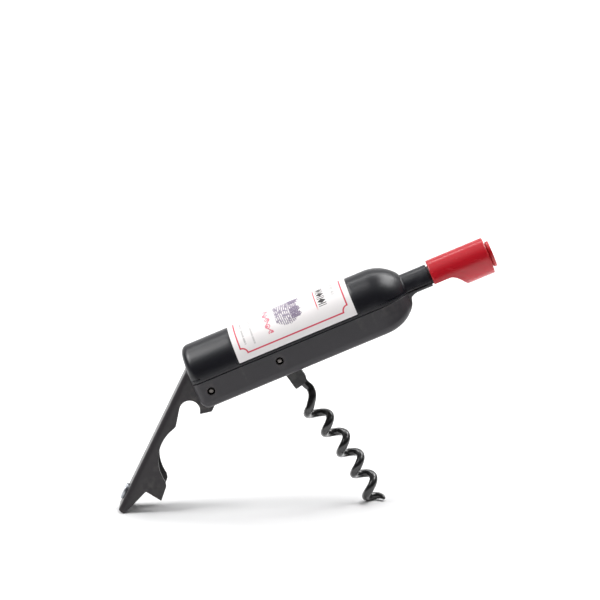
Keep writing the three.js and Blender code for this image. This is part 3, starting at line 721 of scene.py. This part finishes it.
# ---------------------------------------------------------------- rear housing
# The rear half of the bottle: two flat cheeks, joined by a floor and by a solid shoulder.
# The lever and worm fold into the channel between the cheeks.
HOUSING_DEPTH = 10.3
HOUSING_ROUND = 2.7
HOUSING_CORNER = 3.0
HOUSING_TOP = SEAM - 0.08
CHANNEL_HALF_WIDTH, CHANNEL_END = 8.9, 62.5
SLOT_HALF_WIDTH, SLOT_ROOF = 4.6, -1.75
NECK_FLAT = -1.65
SWEEP = (69.5, 82.3)                     # where the rear face sweeps up, and where its fillet starts
SWEEP_POWER = 2.2                        # 2 would be an ellipse
FILLET_HEIGHT, FILLET_LENGTH = 1.1, 3.2
FLOOR_START, FLOOR_LOW, FLOOR_HIGH = 8.5, 1.6, 2.8
TONGUE_END, TONGUE_HALF_WIDTH = 72, 9.7
STUB_LOW, STUB_HIGH = -1.1, 0.25         # a short bar that closes the gap under the spigot
PIN_BORE, BORE_EDGE = 1.33, 0.28


def rounded(corners, radii, steps=6):
    """A closed outline of arcs that touch its sides, one at each corner.

    Corners and radii may have leading axes, so a whole loft is rounded at once. An arc starts
    radius times the tangent of half the turn before its corner.
    """
    corners = np.asarray(corners, float)
    radii = np.broadcast_to(radii, corners.shape[:-1])[..., None]
    before, after = corners - np.roll(corners, 1, -2), np.roll(corners, -1, -2) - corners
    before /= np.linalg.norm(before, axis=-1, keepdims=True)
    after /= np.linalg.norm(after, axis=-1, keepdims=True)
    cross = before[..., :1] * after[..., 1:] - before[..., 1:] * after[..., :1]
    turn = np.arctan2(cross, (before * after).sum(-1, keepdims=True))
    inward = np.stack([-before[..., 1], before[..., 0]], -1) * np.sign(turn)
    start = corners - before * radii * np.tan(np.abs(turn) / 2)
    points = [start + radii * (np.sin(np.abs(turn) * t) * before + (1 - np.cos(turn * t)) * inward)
              for t in np.linspace(0, 1, steps)]
    return np.stack(points, -2).reshape(*corners.shape[:-2], -1, 2)


def swept_depth(along):
    """How far the housing reaches behind the axis, as a negative height.

    It rounds up at the base by a quarter circle, is level along the body, and sweeps up round
    the shoulder to the flat behind the neck by a quarter of a slightly squared ellipse that ends
    in a short fillet.
    """
    from_corner = (HOUSING_CORNER - along).clip(0, HOUSING_CORNER)
    base = HOUSING_CORNER - np.sqrt(HOUSING_CORNER ** 2 - from_corner ** 2)
    sweep = np.clip((along - SWEEP[0]) / (SWEEP[1] - SWEEP[0]), 0, 1)
    rise = HOUSING_DEPTH + NECK_FLAT - FILLET_HEIGHT
    quarter = -HOUSING_DEPTH + rise * (1 - np.sqrt(1 - sweep ** SWEEP_POWER))
    fillet = NECK_FLAT - FILLET_HEIGHT * (1 - np.clip((along - SWEEP[1]) / FILLET_LENGTH, 0, 1)) ** 2
    return np.where(along < SWEEP[1], quarter, fillet) + base


def join_shells(*shells):
    """Several sets of points and faces as one."""
    points, faces, start = [], [], 0
    for shell_points, shell_faces in shells:
        flat = np.asarray(shell_points).reshape(-1, 3)
        points.append(flat)
        faces += [[corner + start for corner in face] for face in shell_faces]
        start += len(flat)
    return np.concatenate(points), faces


def make_cheek(side):
    """One cheek: a rounded four-cornered section, carried along the bottle.

    Its outer face follows the bottle's profile, its lower edge the swept depth, and its inner
    face is the channel's side and then the worm slot's.
    """
    profile = bottle_profile()
    extra = np.array([CHANNEL_END - 0.12, CHANNEL_END, NECK_END - 0.2, NECK_END - 0.05, NECK_END])
    along = np.unique(np.concatenate([profile[:, 0], extra, np.linspace(66, 86, 41)]))
    wide = np.interp(along, profile[:, 0], profile[:, 1])
    wide[along >= NECK_FILLET_AT] = NECK_RADIUS
    wide[-1], wide[-2] = NECK_RADIUS - 0.2, NECK_RADIUS - 0.06
    low = swept_depth(along)
    inner = np.where(along < CHANNEL_END - 0.05, CHANNEL_HALF_WIDTH, SLOT_HALF_WIDTH)
    inner = np.where(along < BASE_WALL, MOUTH_HALF_WIDTH + 0.15, inner)
    height = np.full_like(along, HOUSING_TOP)
    corners = np.stack([np.stack([wide, height], -1), np.stack([wide, low], -1),
                        np.stack([inner, low], -1), np.stack([inner, height], -1)], 1)
    room = np.minimum(wide - inner, height - low)
    radii = np.stack([np.full_like(room, 0.28), np.minimum(HOUSING_ROUND, room - 0.25).clip(0.1),
                      np.minimum(0.3, 0.2 * room + 0.01), np.full_like(room, 0.02)], -1)
    section = rounded(corners, radii, 9)
    section[..., 0] *= side
    along = np.broadcast_to(along[:, None], section.shape[:2])
    rings = np.concatenate([along[..., None], section], -1)
    return on_bottle(rings), loft_faces(*rings.shape[:2])


def make_slab(start, end, half_width, low, high, edge=0.15):
    """A bar along the bottle with rounded long edges and chamfered ends."""
    along = np.array([start, start + edge, end - edge, end])
    shrink = np.array([edge, 0, 0, edge])[:, None, None]
    corners = np.array([[-half_width, low], [half_width, low], [half_width, high], [-half_width, high]])
    middle = corners.mean(0)
    corners = corners[None] - np.sign(corners - middle)[None] * shrink
    section = rounded(corners, edge, 4)
    along = np.broadcast_to(along[:, None, None], (*section.shape[:2], 1))
    return on_bottle(np.concatenate([along, section], -1)), loft_faces(*section.shape[:2])


def turn_profile(profile, sides=48):
    """A profile of distance along and radius, turned about the line across the bottle."""
    profile = np.asarray(profile, float)
    turn = np.linspace(0, 2 * np.pi, sides, endpoint=False)[None, :]
    distance, radius = profile.T[:, :, None]
    return np.stack(np.broadcast_arrays(radius * np.cos(turn), distance, radius * np.sin(turn)), -1)


def drill(piece, rings, placed):
    """Cuts the closed surface through the rings out of a piece."""
    cutter = add_mesh("drill", placed(rings), loft_faces(*rings.shape[:2]), piece.data.materials[0])
    cut = piece.modifiers.new("drill", "BOOLEAN")
    cut.operation, cut.solver, cut.object = "DIFFERENCE", "EXACT", cutter
    bpy.context.view_layer.update()
    result = bpy.data.meshes.new_from_object(piece.evaluated_get(bpy.context.evaluated_depsgraph_get()))
    piece.modifiers.clear()
    piece.data = result
    bpy.data.objects.remove(cutter)
    weigh_normals(piece.data)


housing_plastic = finished_material(
    "housing_plastic",
    {"Color": (0.029, 0.0265, 0.031, 1), "Worn Color": (0.10, 0.09, 0.085, 1), "Roughness": 0.42,
     "Grain Per Metre": 2600.0, "Clouds": 0.05, "Scuffs": 0.10, "Edge Wear": 0.3},
    0.00005, Specular_IOR_Level=0.5)
for name, side in (("left", 1), ("right", -1)):
    cheek = add_mesh(f"housing_cheek_{name}", *make_cheek(side), housing_plastic)
    for pin in (LEVER_PIN, WORM_PIN):
        flare = [[side * 6.0, PIN_BORE], [side * (BODY_RADIUS - 0.3), PIN_BORE],
                 [side * (BODY_RADIUS - 0.1), PIN_BORE + BORE_EDGE / 4],
                 [side * (BODY_RADIUS + 0.05), PIN_BORE + BORE_EDGE], [side * 13.0, PIN_BORE + BORE_EDGE]]
        drill(cheek, turn_profile(flare, 40) + [pin[0], 0, pin[1]], on_bottle)
    mark_edges(cheek)
    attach(cheek, "bottle")
    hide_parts("rear_housing")
floor_and_roof = join_shells(
    make_slab(FLOOR_START, CHANNEL_END + 0.1, TONGUE_HALF_WIDTH, FLOOR_LOW, FLOOR_HIGH),
    make_slab(CHANNEL_END, TONGUE_END, TONGUE_HALF_WIDTH, SLOT_ROOF, FLOOR_HIGH),
    make_slab(TONGUE_END - 0.5, NECK_END - 0.1, SLOT_HALF_WIDTH + 0.2, SLOT_ROOF, HOUSING_TOP),
    make_slab(NECK_END - 0.5, CAPSULE[0] + 1.5, SPIGOT_RADIUS - 0.5, STUB_LOW, STUB_HIGH, 0.1))
housing_floor = add_mesh("housing_floor", *floor_and_roof, housing_plastic)
mark_edges(housing_floor)
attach(housing_floor, "bottle")
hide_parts("rear_housing")

# ---------------------------------------------------------------- lever
# Pressed from one strip of steel into a channel and painted black. A notch near the pin hooks
# under a crown cap, a long arc clears the worm's pin, and the forked end sits on a bottle's rim.
LEVER_PIVOT_HEIGHT = 10.6
LEVER_HALF_WIDTH = 7.0
LEVER_SHEET = 1.2
LEVER_BEND = 2.0
LEVER_TIP = 54.4
LEVER_HEEL = -0.95
LEVER_EYE_RADIUS = 3.75
CAP_NOTCH, CAP_NOTCH_RADIUS = (10.7, 7.2), 3.65
PIN_ARC, PIN_ARC_RADIUS = (25.4, 17.5), 14.04
RIM_REST, TOOTH_HEIGHT, TIP_HEIGHT = (43.85, 5.85), 12.2, 2.45
PIN_CLEARANCE = 1.14
EDGE_ROUND = 0.22


def shrink(loop, distance):
    """The loop moved to its left by a distance, further at corners so that its sides stay parallel."""
    step = np.roll(loop, -1, 0) - loop
    step /= np.linalg.norm(step, axis=1, keepdims=True)
    tangent = step + np.roll(step, 1, 0)
    tangent /= np.linalg.norm(tangent, axis=1, keepdims=True)
    left = np.stack([-tangent[:, 1], tangent[:, 0]], -1)
    spread = np.maximum((tangent * step).sum(1), 0.6)[:, None]
    return loop + left * distance / spread


def is_within(points, loop):
    """Which points lie inside a closed loop, by counting the sides that a ray crosses."""
    x, y = points.T[:, :, None]
    (x0, y0), (x1, y1) = loop.T[:, None, :], np.roll(loop, -1, 0).T[:, None, :]
    spans = (y0 > y) != (y1 > y)
    crossing = x0 + (y - y0) * (x1 - x0) / np.where(y1 == y0, 1e-12, y1 - y0)
    return (spans & (x < crossing)).sum(1) % 2 == 1


def fold(flat, depth, half_web, bend):
    """Points of the flat strip, folded up at both sides. Depth is measured in from its outer face.

    Up to half the web the strip is level, then it turns a quarter circle, then it stands up.
    """
    along, distance = flat[..., 0], np.abs(flat[..., 1])
    turn = np.clip((distance - half_web) / bend, 0, np.pi / 2)
    beyond = np.maximum(distance - half_web - bend * np.pi / 2, 0)
    across = np.minimum(distance, half_web) + (bend - depth) * np.sin(turn)
    above = bend - (bend - depth) * np.cos(turn) + beyond
    return np.stack([along, across * np.sign(flat[..., 1]), above], -1)


def press(outline, holes, folds, thickness, edge, half_web, bend):
    """A sheet cut to an outline with holes, with rounded edges, folded into a channel.

    The flat inside the rounded edge is triangulated once for both faces. Round each loop a half
    round profile runs from the outer face to the inner one. Folds are pairs of outline corners
    that a row of points joins, so that the bends stay smooth.
    """
    loops = [outline, *holes]
    inner_loops = [shrink(loop, edge) for loop in loops]
    flat, sides, start = list(np.concatenate(inner_loops)), [], 0
    for loop in inner_loops:
        count = len(loop)
        sides += [(start + i, start + (i + 1) % count) for i in range(count)]
        start += count
    for first, last in folds:
        ends = inner_loops[0][first], inner_loops[0][last]
        steps = max(2, int(abs(ends[1][0] - ends[0][0]) / 2))
        row = [ends[0] + (ends[1] - ends[0]) * t for t in np.linspace(0, 1, steps + 1)[1:-1]]
        chain = [first, *range(len(flat), len(flat) + len(row)), last]
        flat += row
        sides += list(zip(chain, chain[1:]))
    made = delaunay_2d_cdt([Vector(p) for p in flat], sides, [], 0, 1e-6)
    place_of = {old: new for new, olds in enumerate(made[3]) for old in olds}
    flat = np.array(made[0])
    triangles = np.array(made[2])
    middles = flat[triangles].mean(1)
    keep = is_within(middles, inner_loops[0])
    for hole in inner_loops[1:]:
        keep &= ~is_within(middles, hole)
    triangles = triangles[keep]

    count = len(flat)
    points = [fold(flat, 0.0, half_web, bend), fold(flat, thickness, half_web, bend)]
    faces = triangles.tolist() + (triangles[:, ::-1] + count).tolist()
    start, corner = 2 * count, 0
    turn = np.linspace(0, np.pi / 2, 5)
    inset = edge * np.concatenate([1 - np.sin(turn), (1 - np.sin(turn))[::-1]])[1:-1]
    depth = np.concatenate([edge * (1 - np.cos(turn)), thickness - (edge * (1 - np.cos(turn)))[::-1]])[1:-1]
    for loop in loops:
        size = len(loop)
        rim = [fold(shrink(loop, i), d, half_web, bend) for i, d in zip(inset, depth)]
        own = np.array([place_of[corner + i] for i in range(size)])
        rows = [own] + [start + k * size + np.arange(size) for k in range(len(rim))] + [own + count]
        for near, far in zip(rows, rows[1:]):
            faces += np.stack([near, far, np.roll(far, -1), np.roll(near, -1)], -1).tolist()
        points += rim
        start += len(rim) * size
        corner += size
    return np.concatenate(points), faces


def strip_distance(height, half_web, bend):
    """How far from the strip's middle a height up the folded side lies in the flat strip."""
    turn = np.arccos(np.clip(1 - height / bend, 0, 1))
    return half_web + bend * turn + np.maximum(height - bend, 0)


def resample(path, spacing):
    """Points along an open path no further apart than the spacing, keeping its own corners."""
    pieces = [a + (b - a) * np.linspace(0, 1, max(2, int(np.hypot(*(b - a)) / spacing) + 1))[:-1, None]
              for a, b in zip(path, path[1:])]
    return np.vstack([*pieces, path[-1:]])


def lever_side():
    """The outline of a side wall from the tip to the heel, as distance from the pin and height."""
    tip = rounded([(LEVER_TIP - 2, 0), (LEVER_TIP - 0.1, 0), (LEVER_TIP + 0.05, TIP_HEIGHT), RIM_REST,
                   (44.5, TOOTH_HEIGHT), (38.9, 11.55), (37.5, 10.4), (37.5, 0)],
                  [0.3, 0, 0.5, 0.55, 0.35, 1.0, 0, 0.3], 8)[8:6 * 8]
    return np.vstack([
        tip, arc(PIN_ARC, PIN_ARC_RADIUS, -30, -117, 40),
        arc((18.0, 5.05), 0.25, 60, 105, 4), arc(CAP_NOTCH, CAP_NOTCH_RADIUS, -71, -258, 40),
        rounded([(9.7, 10.77), (10.1, 11.15), (7.5, 14.35), (0, 14.35)], [0, 0.2, 0.5, 0], 6)[6:18],
        arc((0, LEVER_PIVOT_HEIGHT), LEVER_EYE_RADIUS, 90, 190, 22), [[LEVER_HEEL, 0]]])


def make_lever():
    """The side's outline laid out flat on both sides of the web, then pressed into a channel."""
    half_web = LEVER_HALF_WIDTH - LEVER_BEND
    side = lever_side()
    heights = LEVER_BEND * (1 - np.cos(np.linspace(0, np.pi / 2, 9)))
    tip_row = np.stack([np.interp(heights, [0, 2.0], [LEVER_TIP - 0.1, LEVER_TIP + 0.03]), heights], -1)
    heel_x = np.interp(heights, [0, side[-2, 1]], [side[-1, 0], side[-2, 0]])
    heel_row = np.stack([heel_x, heights], -1)[::-1]
    middle = side[side[:, 1] > LEVER_BEND + 0.05]
    half = np.vstack([tip_row, resample(middle, 0.5), heel_row])
    flat = np.stack([half[:, 0], strip_distance(half[:, 1], half_web, LEVER_BEND)], -1)
    outline = np.vstack([flat, (flat * [1, -1])[::-1]])
    size, rows = len(flat), len(heights)
    folds = [(i, size - 1 - i) for i in range(rows)]
    folds += [(2 * size - 1 - i, size + i) for i in range(rows)]
    eye_at = strip_distance(np.array(LEVER_PIVOT_HEIGHT), half_web, LEVER_BEND)
    eye = arc((0, eye_at), PIN_CLEARANCE, 0, -360, 41)[:-1]
    holes = [eye, (eye * [1, -1])[::-1]]
    points, faces = press(outline, holes, folds, LEVER_SHEET, EDGE_ROUND, half_web, LEVER_BEND)
    return on_lever(points - [0, 0, LEVER_PIVOT_HEIGHT]), faces


black_steel = finished_material(
    "black_steel",
    {"Color": (0.025, 0.0215, 0.0245, 1), "Worn Color": (0.13, 0.12, 0.11, 1), "Roughness": 0.36,
     "Grain Per Metre": 1500.0, "Clouds": 0.06, "Scuffs": 0.12, "Edge Wear": 0.3},
    0.00006, Coat_Weight=0.1, Coat_Roughness=0.3, Specular_IOR_Level=0.35)
lever = add_mesh("lever_pressing", *make_lever(), black_steel)
mark_edges(lever)
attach(lever, "lever")
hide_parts("lever")

# ---------------------------------------------------------------- frame liner
# A steel channel pressed like the lever, but the other way up, held inside the housing. The two
# pins pass through its walls, and its web stops short of the base so that the lever can swing.
LINER_WIDTH = 8.6                        # half, over its walls
LINER_BEND = 1.4
LINER = (2.6, 62.2)
LINER_WEB_START = 8.8
LINER_TOP, LINER_LOW = 1.3, -9.6
LINER_SHEET = 1.0
SCREW_PLACES, SCREW_HOLE = (13, 26, 42, 56), 1.2


def make_liner():
    """A rectangle with one end of its web notched out, pressed into a channel that opens downwards."""
    half_web = LINER_WIDTH - LINER_BEND
    bend_rows = half_web + LINER_BEND * np.linspace(0, np.pi / 2, 7)
    reach = strip_distance(np.array(LINER_TOP - LINER_LOW), half_web, LINER_BEND)
    far = [[LINER[1], d] for d in bend_rows]
    near = [[LINER[0], d] for d in bend_rows[::-1]]
    corners = rounded([(LINER[1], 0), (LINER[1], reach), (LINER[0], reach), (LINER[0], 0)],
                      [0, 0.8, 0.8, 0], 6)[6:18]
    notch = [[LINER[0], half_web - 0.3], [LINER_WEB_START, half_web - 0.3]]
    half = np.vstack([far, corners, near, notch])
    size, rows = len(half), len(bend_rows)
    outline = np.vstack([half, (half * [1, -1])[::-1]])
    folds = [(i, size - 3 - i) for i in range(rows)]
    folds += [(2 * size - 1 - i, size + 2 + i) for i in range(rows)]
    holes = [arc((place, 0), SCREW_HOLE, 0, -360, 25)[:-1] for place in SCREW_PLACES]
    for pin in (LEVER_PIN, WORM_PIN):
        eye_at = strip_distance(LINER_TOP - pin[1], half_web, LINER_BEND)
        eye = arc((pin[0], eye_at), PIN_CLEARANCE, 0, -360, 33)[:-1]
        holes += [eye, (eye * [1, -1])[::-1]]
    points, faces = press(outline, holes, folds, LINER_SHEET, 0.15, half_web, LINER_BEND)
    return on_bottle(points * [1, 1, -1] + [0, 0, LINER_TOP]), faces


plain_steel = finished_material(
    "plain_steel",
    {"Color": (0.17, 0.155, 0.145, 1), "Worn Color": (0.34, 0.32, 0.3, 1), "Roughness": 0.4,
     "Grain Per Metre": 1800.0, "Clouds": 0.2, "Scuffs": 0.5, "Edge Wear": 0.4},
    0.00003, Metallic=0.9)
liner = add_mesh("liner_pressing", *make_liner(), plain_steel)
mark_edges(liner)
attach(liner, "bottle")
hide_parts("frame_liner")

# ---------------------------------------------------------------- body screws
# Four cross-head screws in the channel's floor, driven up into the front shell. Plain steel.
SCREW_SEAT = 0.2
SCREW_TIP = 8.0
SCREW_HEAD_RADIUS, SCREW_HEAD_HEIGHT = 1.9, 1.1
SCREW_RADIUS, THREAD_PITCH = 1.0, 0.6


def turn_upright(profile, sides=48):
    """A profile of height and radius, turned about an upright line."""
    turn = np.linspace(0, 2 * np.pi, sides, endpoint=False)[None, :]
    height, radius = np.asarray(profile, float).T[:, :, None]
    return np.stack(np.broadcast_arrays(radius * np.cos(turn), radius * np.sin(turn), height), -1)


def make_screw(place):
    """A domed head with a cross pressed into it, and a shaft whose radius follows a helix.

    The cross is a dip where the distance from either middle line is small. The thread is a
    triangle wave of the height less the pitch times the turn.
    """
    top, foot = SCREW_SEAT, SCREW_SEAT - SCREW_HEAD_HEIGHT
    dome = [[foot + 0.22 * (radius / SCREW_HEAD_RADIUS) ** 2, radius]
            for radius in np.linspace(0.02, SCREW_HEAD_RADIUS - 0.12, 16)]
    shaft = [[h, SCREW_RADIUS] for h in np.linspace(top + 0.02, SCREW_TIP - 0.7, 60)]
    rim = [[foot + 0.36, SCREW_HEAD_RADIUS], [top - 0.08, SCREW_HEAD_RADIUS],
           [top, SCREW_HEAD_RADIUS - 0.1], [top, SCREW_RADIUS]]
    profile = dome + rim + shaft + [[SCREW_TIP, 0.08]]
    points = turn_upright(profile)
    across, aside, height = np.moveaxis(points, -1, 0)
    from_lines, out = np.minimum(np.abs(across), np.abs(aside)), np.hypot(across, aside)
    cross = np.clip((0.3 - from_lines) / 0.14, 0, 1) * np.clip((1.2 - out) / 0.2, 0, 1)
    cross[len(dome):] = 0
    height = height + 0.5 * cross
    angle = np.arctan2(aside, across) / (2 * np.pi)
    wave = np.abs((height / THREAD_PITCH - angle) % 1 * 2 - 1)
    threaded = (height > top + 0.3) & (height < SCREW_TIP - 0.6)
    thin = np.where(threaded, 1 - 0.14 * wave, 1)
    rings = np.stack([across * thin + place, aside * thin, height], -1)
    return on_bottle(rings), loft_faces(*rings.shape[:2])


for number, place in enumerate(SCREW_PLACES, 1):
    screw = add_mesh(f"cross_head_screw_{number}", *make_screw(place), plain_steel)
    mark_edges(screw)
    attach(screw, "bottle")
    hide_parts(f"body_screw_{number}")

# ---------------------------------------------------------------- pins
# Two steel pins from cheek to cheek, a little below the surface, with turned-down ends.
PIN_RADIUS = 1.05
PIN_HALF_LENGTH = 11.4
PIN_END = [(0, 0.05), (0, 0.5), (0.03, 0.62), (0.1, 0.76), (0.24, 0.88),
           (0.34, 0.9), (0.4, 0.98), (0.5, PIN_RADIUS)]    # distance from the end, and radius

for name, place in (("lever", LEVER_PIN), ("worm", WORM_PIN)):
    turned = [[depth - PIN_HALF_LENGTH, radius] for depth, radius in PIN_END]
    half = np.array(turned + [[-7.0, PIN_RADIUS], [-2.0, PIN_RADIUS]])
    profile = np.vstack([half, (half * [-1, 1])[::-1]])
    rings = turn_profile(profile, 40)
    pin = add_mesh(f"{name}_pin_turned", on_bottle(rings + [place[0], 0, place[1]]),
                   loft_faces(*rings.shape[:2]), plain_steel)
    mark_edges(pin)
    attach(pin, "bottle")
    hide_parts(f"{name}_pin")

# ---------------------------------------------------------------- washers and spacers
# Nylon rings on the pins: thin washers beside the lever, and longer tubes beside the worm's hub.
LEVER_WASHER = (2.9, 7.15, 7.45)         # outer radius, and from where to where across
WORM_SPACER = (2.2, 2.3, 7.3)


def make_ring(outer, start, end, edge=0.08):
    """A rounded rectangle turned about the line across the bottle, so the surface closes both ways."""
    section = rounded([(start, PIN_CLEARANCE), (end, PIN_CLEARANCE), (end, outer), (start, outer)], edge, 4)
    rings = turn_profile(section, 40)
    index = np.arange(rings.shape[0] * rings.shape[1]).reshape(rings.shape[:2])
    far = np.roll(index, -1, 0)
    quads = np.stack([index, np.roll(index, -1, 1), np.roll(far, -1, 1), far], -1)
    return rings, quads.reshape(-1, 4).tolist()


nylon = finished_material(
    "nylon",
    {"Color": (0.66, 0.62, 0.54, 1), "Worn Color": (0.5, 0.46, 0.4, 1), "Roughness": 0.5,
     "Grain Per Metre": 1500.0, "Clouds": 0.1, "Scuffs": 0.2, "Edge Wear": 0.2},
    0.00003, Subsurface_Weight=0.15, Subsurface_Radius=(0.001, 0.0009, 0.0007))
for side, sign in (("left", 1), ("right", -1)):
    for node, sizes, place in (("lever_washer", LEVER_WASHER, LEVER_PIN),
                               ("worm_spacer", WORM_SPACER, WORM_PIN)):
        rings, faces = make_ring(*sizes)
        placed = on_bottle(rings * [1, sign, 1] + [place[0], 0, place[1]])
        ring = add_mesh(f"{node}_{side}_ring", placed, faces, nylon)
        mark_edges(ring)
        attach(ring, "bottle")
        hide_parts(f"{node}_{side}")

# ---------------------------------------------------------------- lever bush and magnet
# A steel tube keeps the lever's walls apart on its pin. A nickel-plated disc magnet is glued to
# the lever's back near the tip.
BUSH_RADIUS, BUSH_HALF_LENGTH = 2.1, 5.5
MAGNET_PLACE, MAGNET_RADIUS = 48.4, 3.0
MAGNET_BACK, MAGNET_FACE = -0.05, -1.05  # heights in the lever's axes

rings, faces = make_ring(BUSH_RADIUS, -BUSH_HALF_LENGTH, BUSH_HALF_LENGTH)
bush = add_mesh("bush_tube", on_lever(rings), faces, plain_steel)
mark_edges(bush)
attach(bush, "lever")
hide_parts("lever_bush")

disc = np.vstack([
    [[MAGNET_BACK, 0.05], [MAGNET_BACK, MAGNET_RADIUS - 0.1], [MAGNET_BACK - 0.1, MAGNET_RADIUS]],
    arc((MAGNET_RADIUS - 0.2, MAGNET_FACE + 0.2), 0.2, 0, -90, 7)[:, ::-1],
    [[MAGNET_FACE, MAGNET_RADIUS - 0.6], [MAGNET_FACE + 0.03, MAGNET_RADIUS - 1.2],
     [MAGNET_FACE + 0.03, 0.05]]])
rings = turn_upright(disc, 64) + [MAGNET_PLACE, 0, -LEVER_PIVOT_HEIGHT]
nickel = finished_material(
    "nickel",
    {"Color": (0.42, 0.44, 0.47, 1), "Worn Color": (0.6, 0.6, 0.6, 1), "Roughness": 0.3,
     "Grain Per Metre": 1500.0, "Clouds": 0.1, "Scuffs": 0.3, "Edge Wear": 0.2},
    0.00003, Metallic=1.0)
magnet = add_mesh("magnet_disc", on_lever(rings), loft_faces(*rings.shape[:2]), nickel)
mark_edges(magnet)
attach(magnet, "lever")
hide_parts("magnet")

# ---------------------------------------------------------------- worm hub
# A flat steel eye on the worm's pin, dull black. The worm's straight end is fixed in its far end.
HUB_HALF_WIDTH, HUB_HALF_THICKNESS = 2.75, 2.0
HUB_LENGTH, HUB_RISE = 13.5, 0.45
HUB_CORNER, HUB_SHOULDER = 0.6, 2.2      # the corner beside the wire is rounded more
HUB_EDGE = 0.3
UNFOLDED = 50.0                          # half a web wider than the hub, so that nothing folds


def make_hub():
    """A bar with one round end and an eye, cut out like the lever's sheet but left flat."""
    low, high = HUB_RISE - HUB_HALF_WIDTH, HUB_RISE + HUB_HALF_WIDTH
    far = rounded([(0, low), (HUB_LENGTH, low), (HUB_LENGTH, high), (0, high)],
                  [0, HUB_CORNER, HUB_SHOULDER, 0], 7)[7:21]
    outline = np.vstack([far, arc((0, HUB_RISE), HUB_HALF_WIDTH, 90, 270, 33)])
    eye = arc((0, 0), PIN_CLEARANCE, 0, -360, 41)[:-1]
    points, faces = press(outline, [eye], [], 2 * HUB_HALF_THICKNESS, HUB_EDGE, UNFOLDED, 1.0)
    along, above, depth = points.T
    return on_worm(np.stack([along, depth - HUB_HALF_THICKNESS, above], -1)), faces


hub_steel = finished_material(
    "hub_steel",
    {"Color": (0.014, 0.0135, 0.0145, 1), "Worn Color": (0.12, 0.115, 0.11, 1), "Roughness": 0.46,
     "Grain Per Metre": 1100.0, "Clouds": 0.08, "Scuffs": 0.2, "Edge Wear": 0.3},
    0.00008, Specular_IOR_Level=0.5)
hub = add_mesh("worm_hub_eye", *make_hub(), hub_steel)
mark_edges(hub)
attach(hub, "worm")
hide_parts("worm_hub")

# ---------------------------------------------------------------- worm
# Round wire with a glossy black coat, wound right-handed in five turns and ground to a point.
WIRE_RADIUS = 1.45
SHANK_START, SHANK_RISE = 5.9, 1.3
HELIX_START, HELIX_RADIUS, HELIX_PITCH, HELIX_TURNS = 19.05, 2.8, 9.15, 5
POINT_RADIUS, POINT_TAPER = 0.22, 6.0
BOW_MIDDLE, BOW_OFFSET, BOW_CURVE = 40.5, -0.3, 0.0042


def wire_line(steps=12):
    """A smooth curve through a straight shank and a helix whose own axis is slightly bowed.

    Between two points the curve is the Catmull-Rom cubic: it passes through both and leaves
    each in the direction from its neighbour before to its neighbour after.
    """
    turn = np.radians(np.arange(90, HELIX_TURNS * 360 + 1, 30))
    along = HELIX_START + HELIX_PITCH * turn / (2 * np.pi)
    bow = BOW_OFFSET - BOW_CURVE * (along - BOW_MIDDLE) ** 2
    helix = np.stack([along, -HELIX_RADIUS * np.sin(turn), bow + HELIX_RADIUS * np.cos(turn)], -1)
    shank = [[SHANK_START, 0, SHANK_RISE], [HUB_LENGTH - 3, 0, SHANK_RISE], [HUB_LENGTH + 0.4, 0, 1.36],
             [HUB_LENGTH + 2.8, -0.5, 1.9], [HELIX_START - 0.3, -2, 1.0]]
    knots = np.vstack([shank, helix])
    knots = np.vstack([2 * knots[0] - knots[1], knots, 2 * knots[-1] - knots[-2]])
    a, b, c, d = (knots[i:len(knots) - 3 + i, None] for i in range(4))
    t = np.linspace(0, 1, steps, endpoint=False)[None, :, None]
    curve = (b + (c - a) * t / 2 + (a - 2.5 * b + 2 * c - d / 2) * t ** 2
             + (1.5 * (b - c) + (d - a) / 2) * t ** 3)
    return np.vstack([curve.reshape(-1, 3), knots[-2:-1]])


def make_worm(around=28):
    """Circles square to the wire's line. Near the end the radius falls as the root of what is left."""
    line = wire_line()
    tangent = np.gradient(line, axis=0)
    tangent /= np.linalg.norm(tangent, axis=1, keepdims=True)
    aside = np.cross([0, 0, 1], tangent)
    aside /= np.linalg.norm(aside, axis=1, keepdims=True)
    upward = np.cross(tangent, aside)
    run = np.concatenate([[0], np.cumsum(np.linalg.norm(np.diff(line, axis=0), axis=1))])
    left = run[-1] - run
    radius = POINT_RADIUS + (WIRE_RADIUS - POINT_RADIUS) * np.sqrt(np.minimum(1, left / POINT_TAPER))
    tip = np.clip(1 - left / 0.25, 0, 1)
    radius = radius * np.sqrt(np.maximum(1 - tip ** 2, 0.01))
    radius[0] = WIRE_RADIUS - 0.2
    turn = np.linspace(0, 2 * np.pi, around, endpoint=False)[None, :, None]
    ring = aside[:, None] * np.cos(turn) + upward[:, None] * np.sin(turn)
    rings = line[:, None] + radius[:, None, None] * ring
    return on_worm(rings), loft_faces(*rings.shape[:2])


worm_steel = finished_material(
    "worm_steel",
    {"Color": (0.007, 0.0065, 0.007, 1), "Worn Color": (0.08, 0.075, 0.07, 1), "Roughness": 0.3,
     "Grain Per Metre": 900.0, "Clouds": 0.1, "Scuffs": 0.3, "Edge Wear": 0.1},
    0.00006, Coat_Weight=0.8, Coat_Roughness=0.12)
worm = add_mesh("worm_wire", *make_worm(), worm_steel)
mark_edges(worm, 0.15, 1.2)
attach(worm, "worm")
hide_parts("worm")
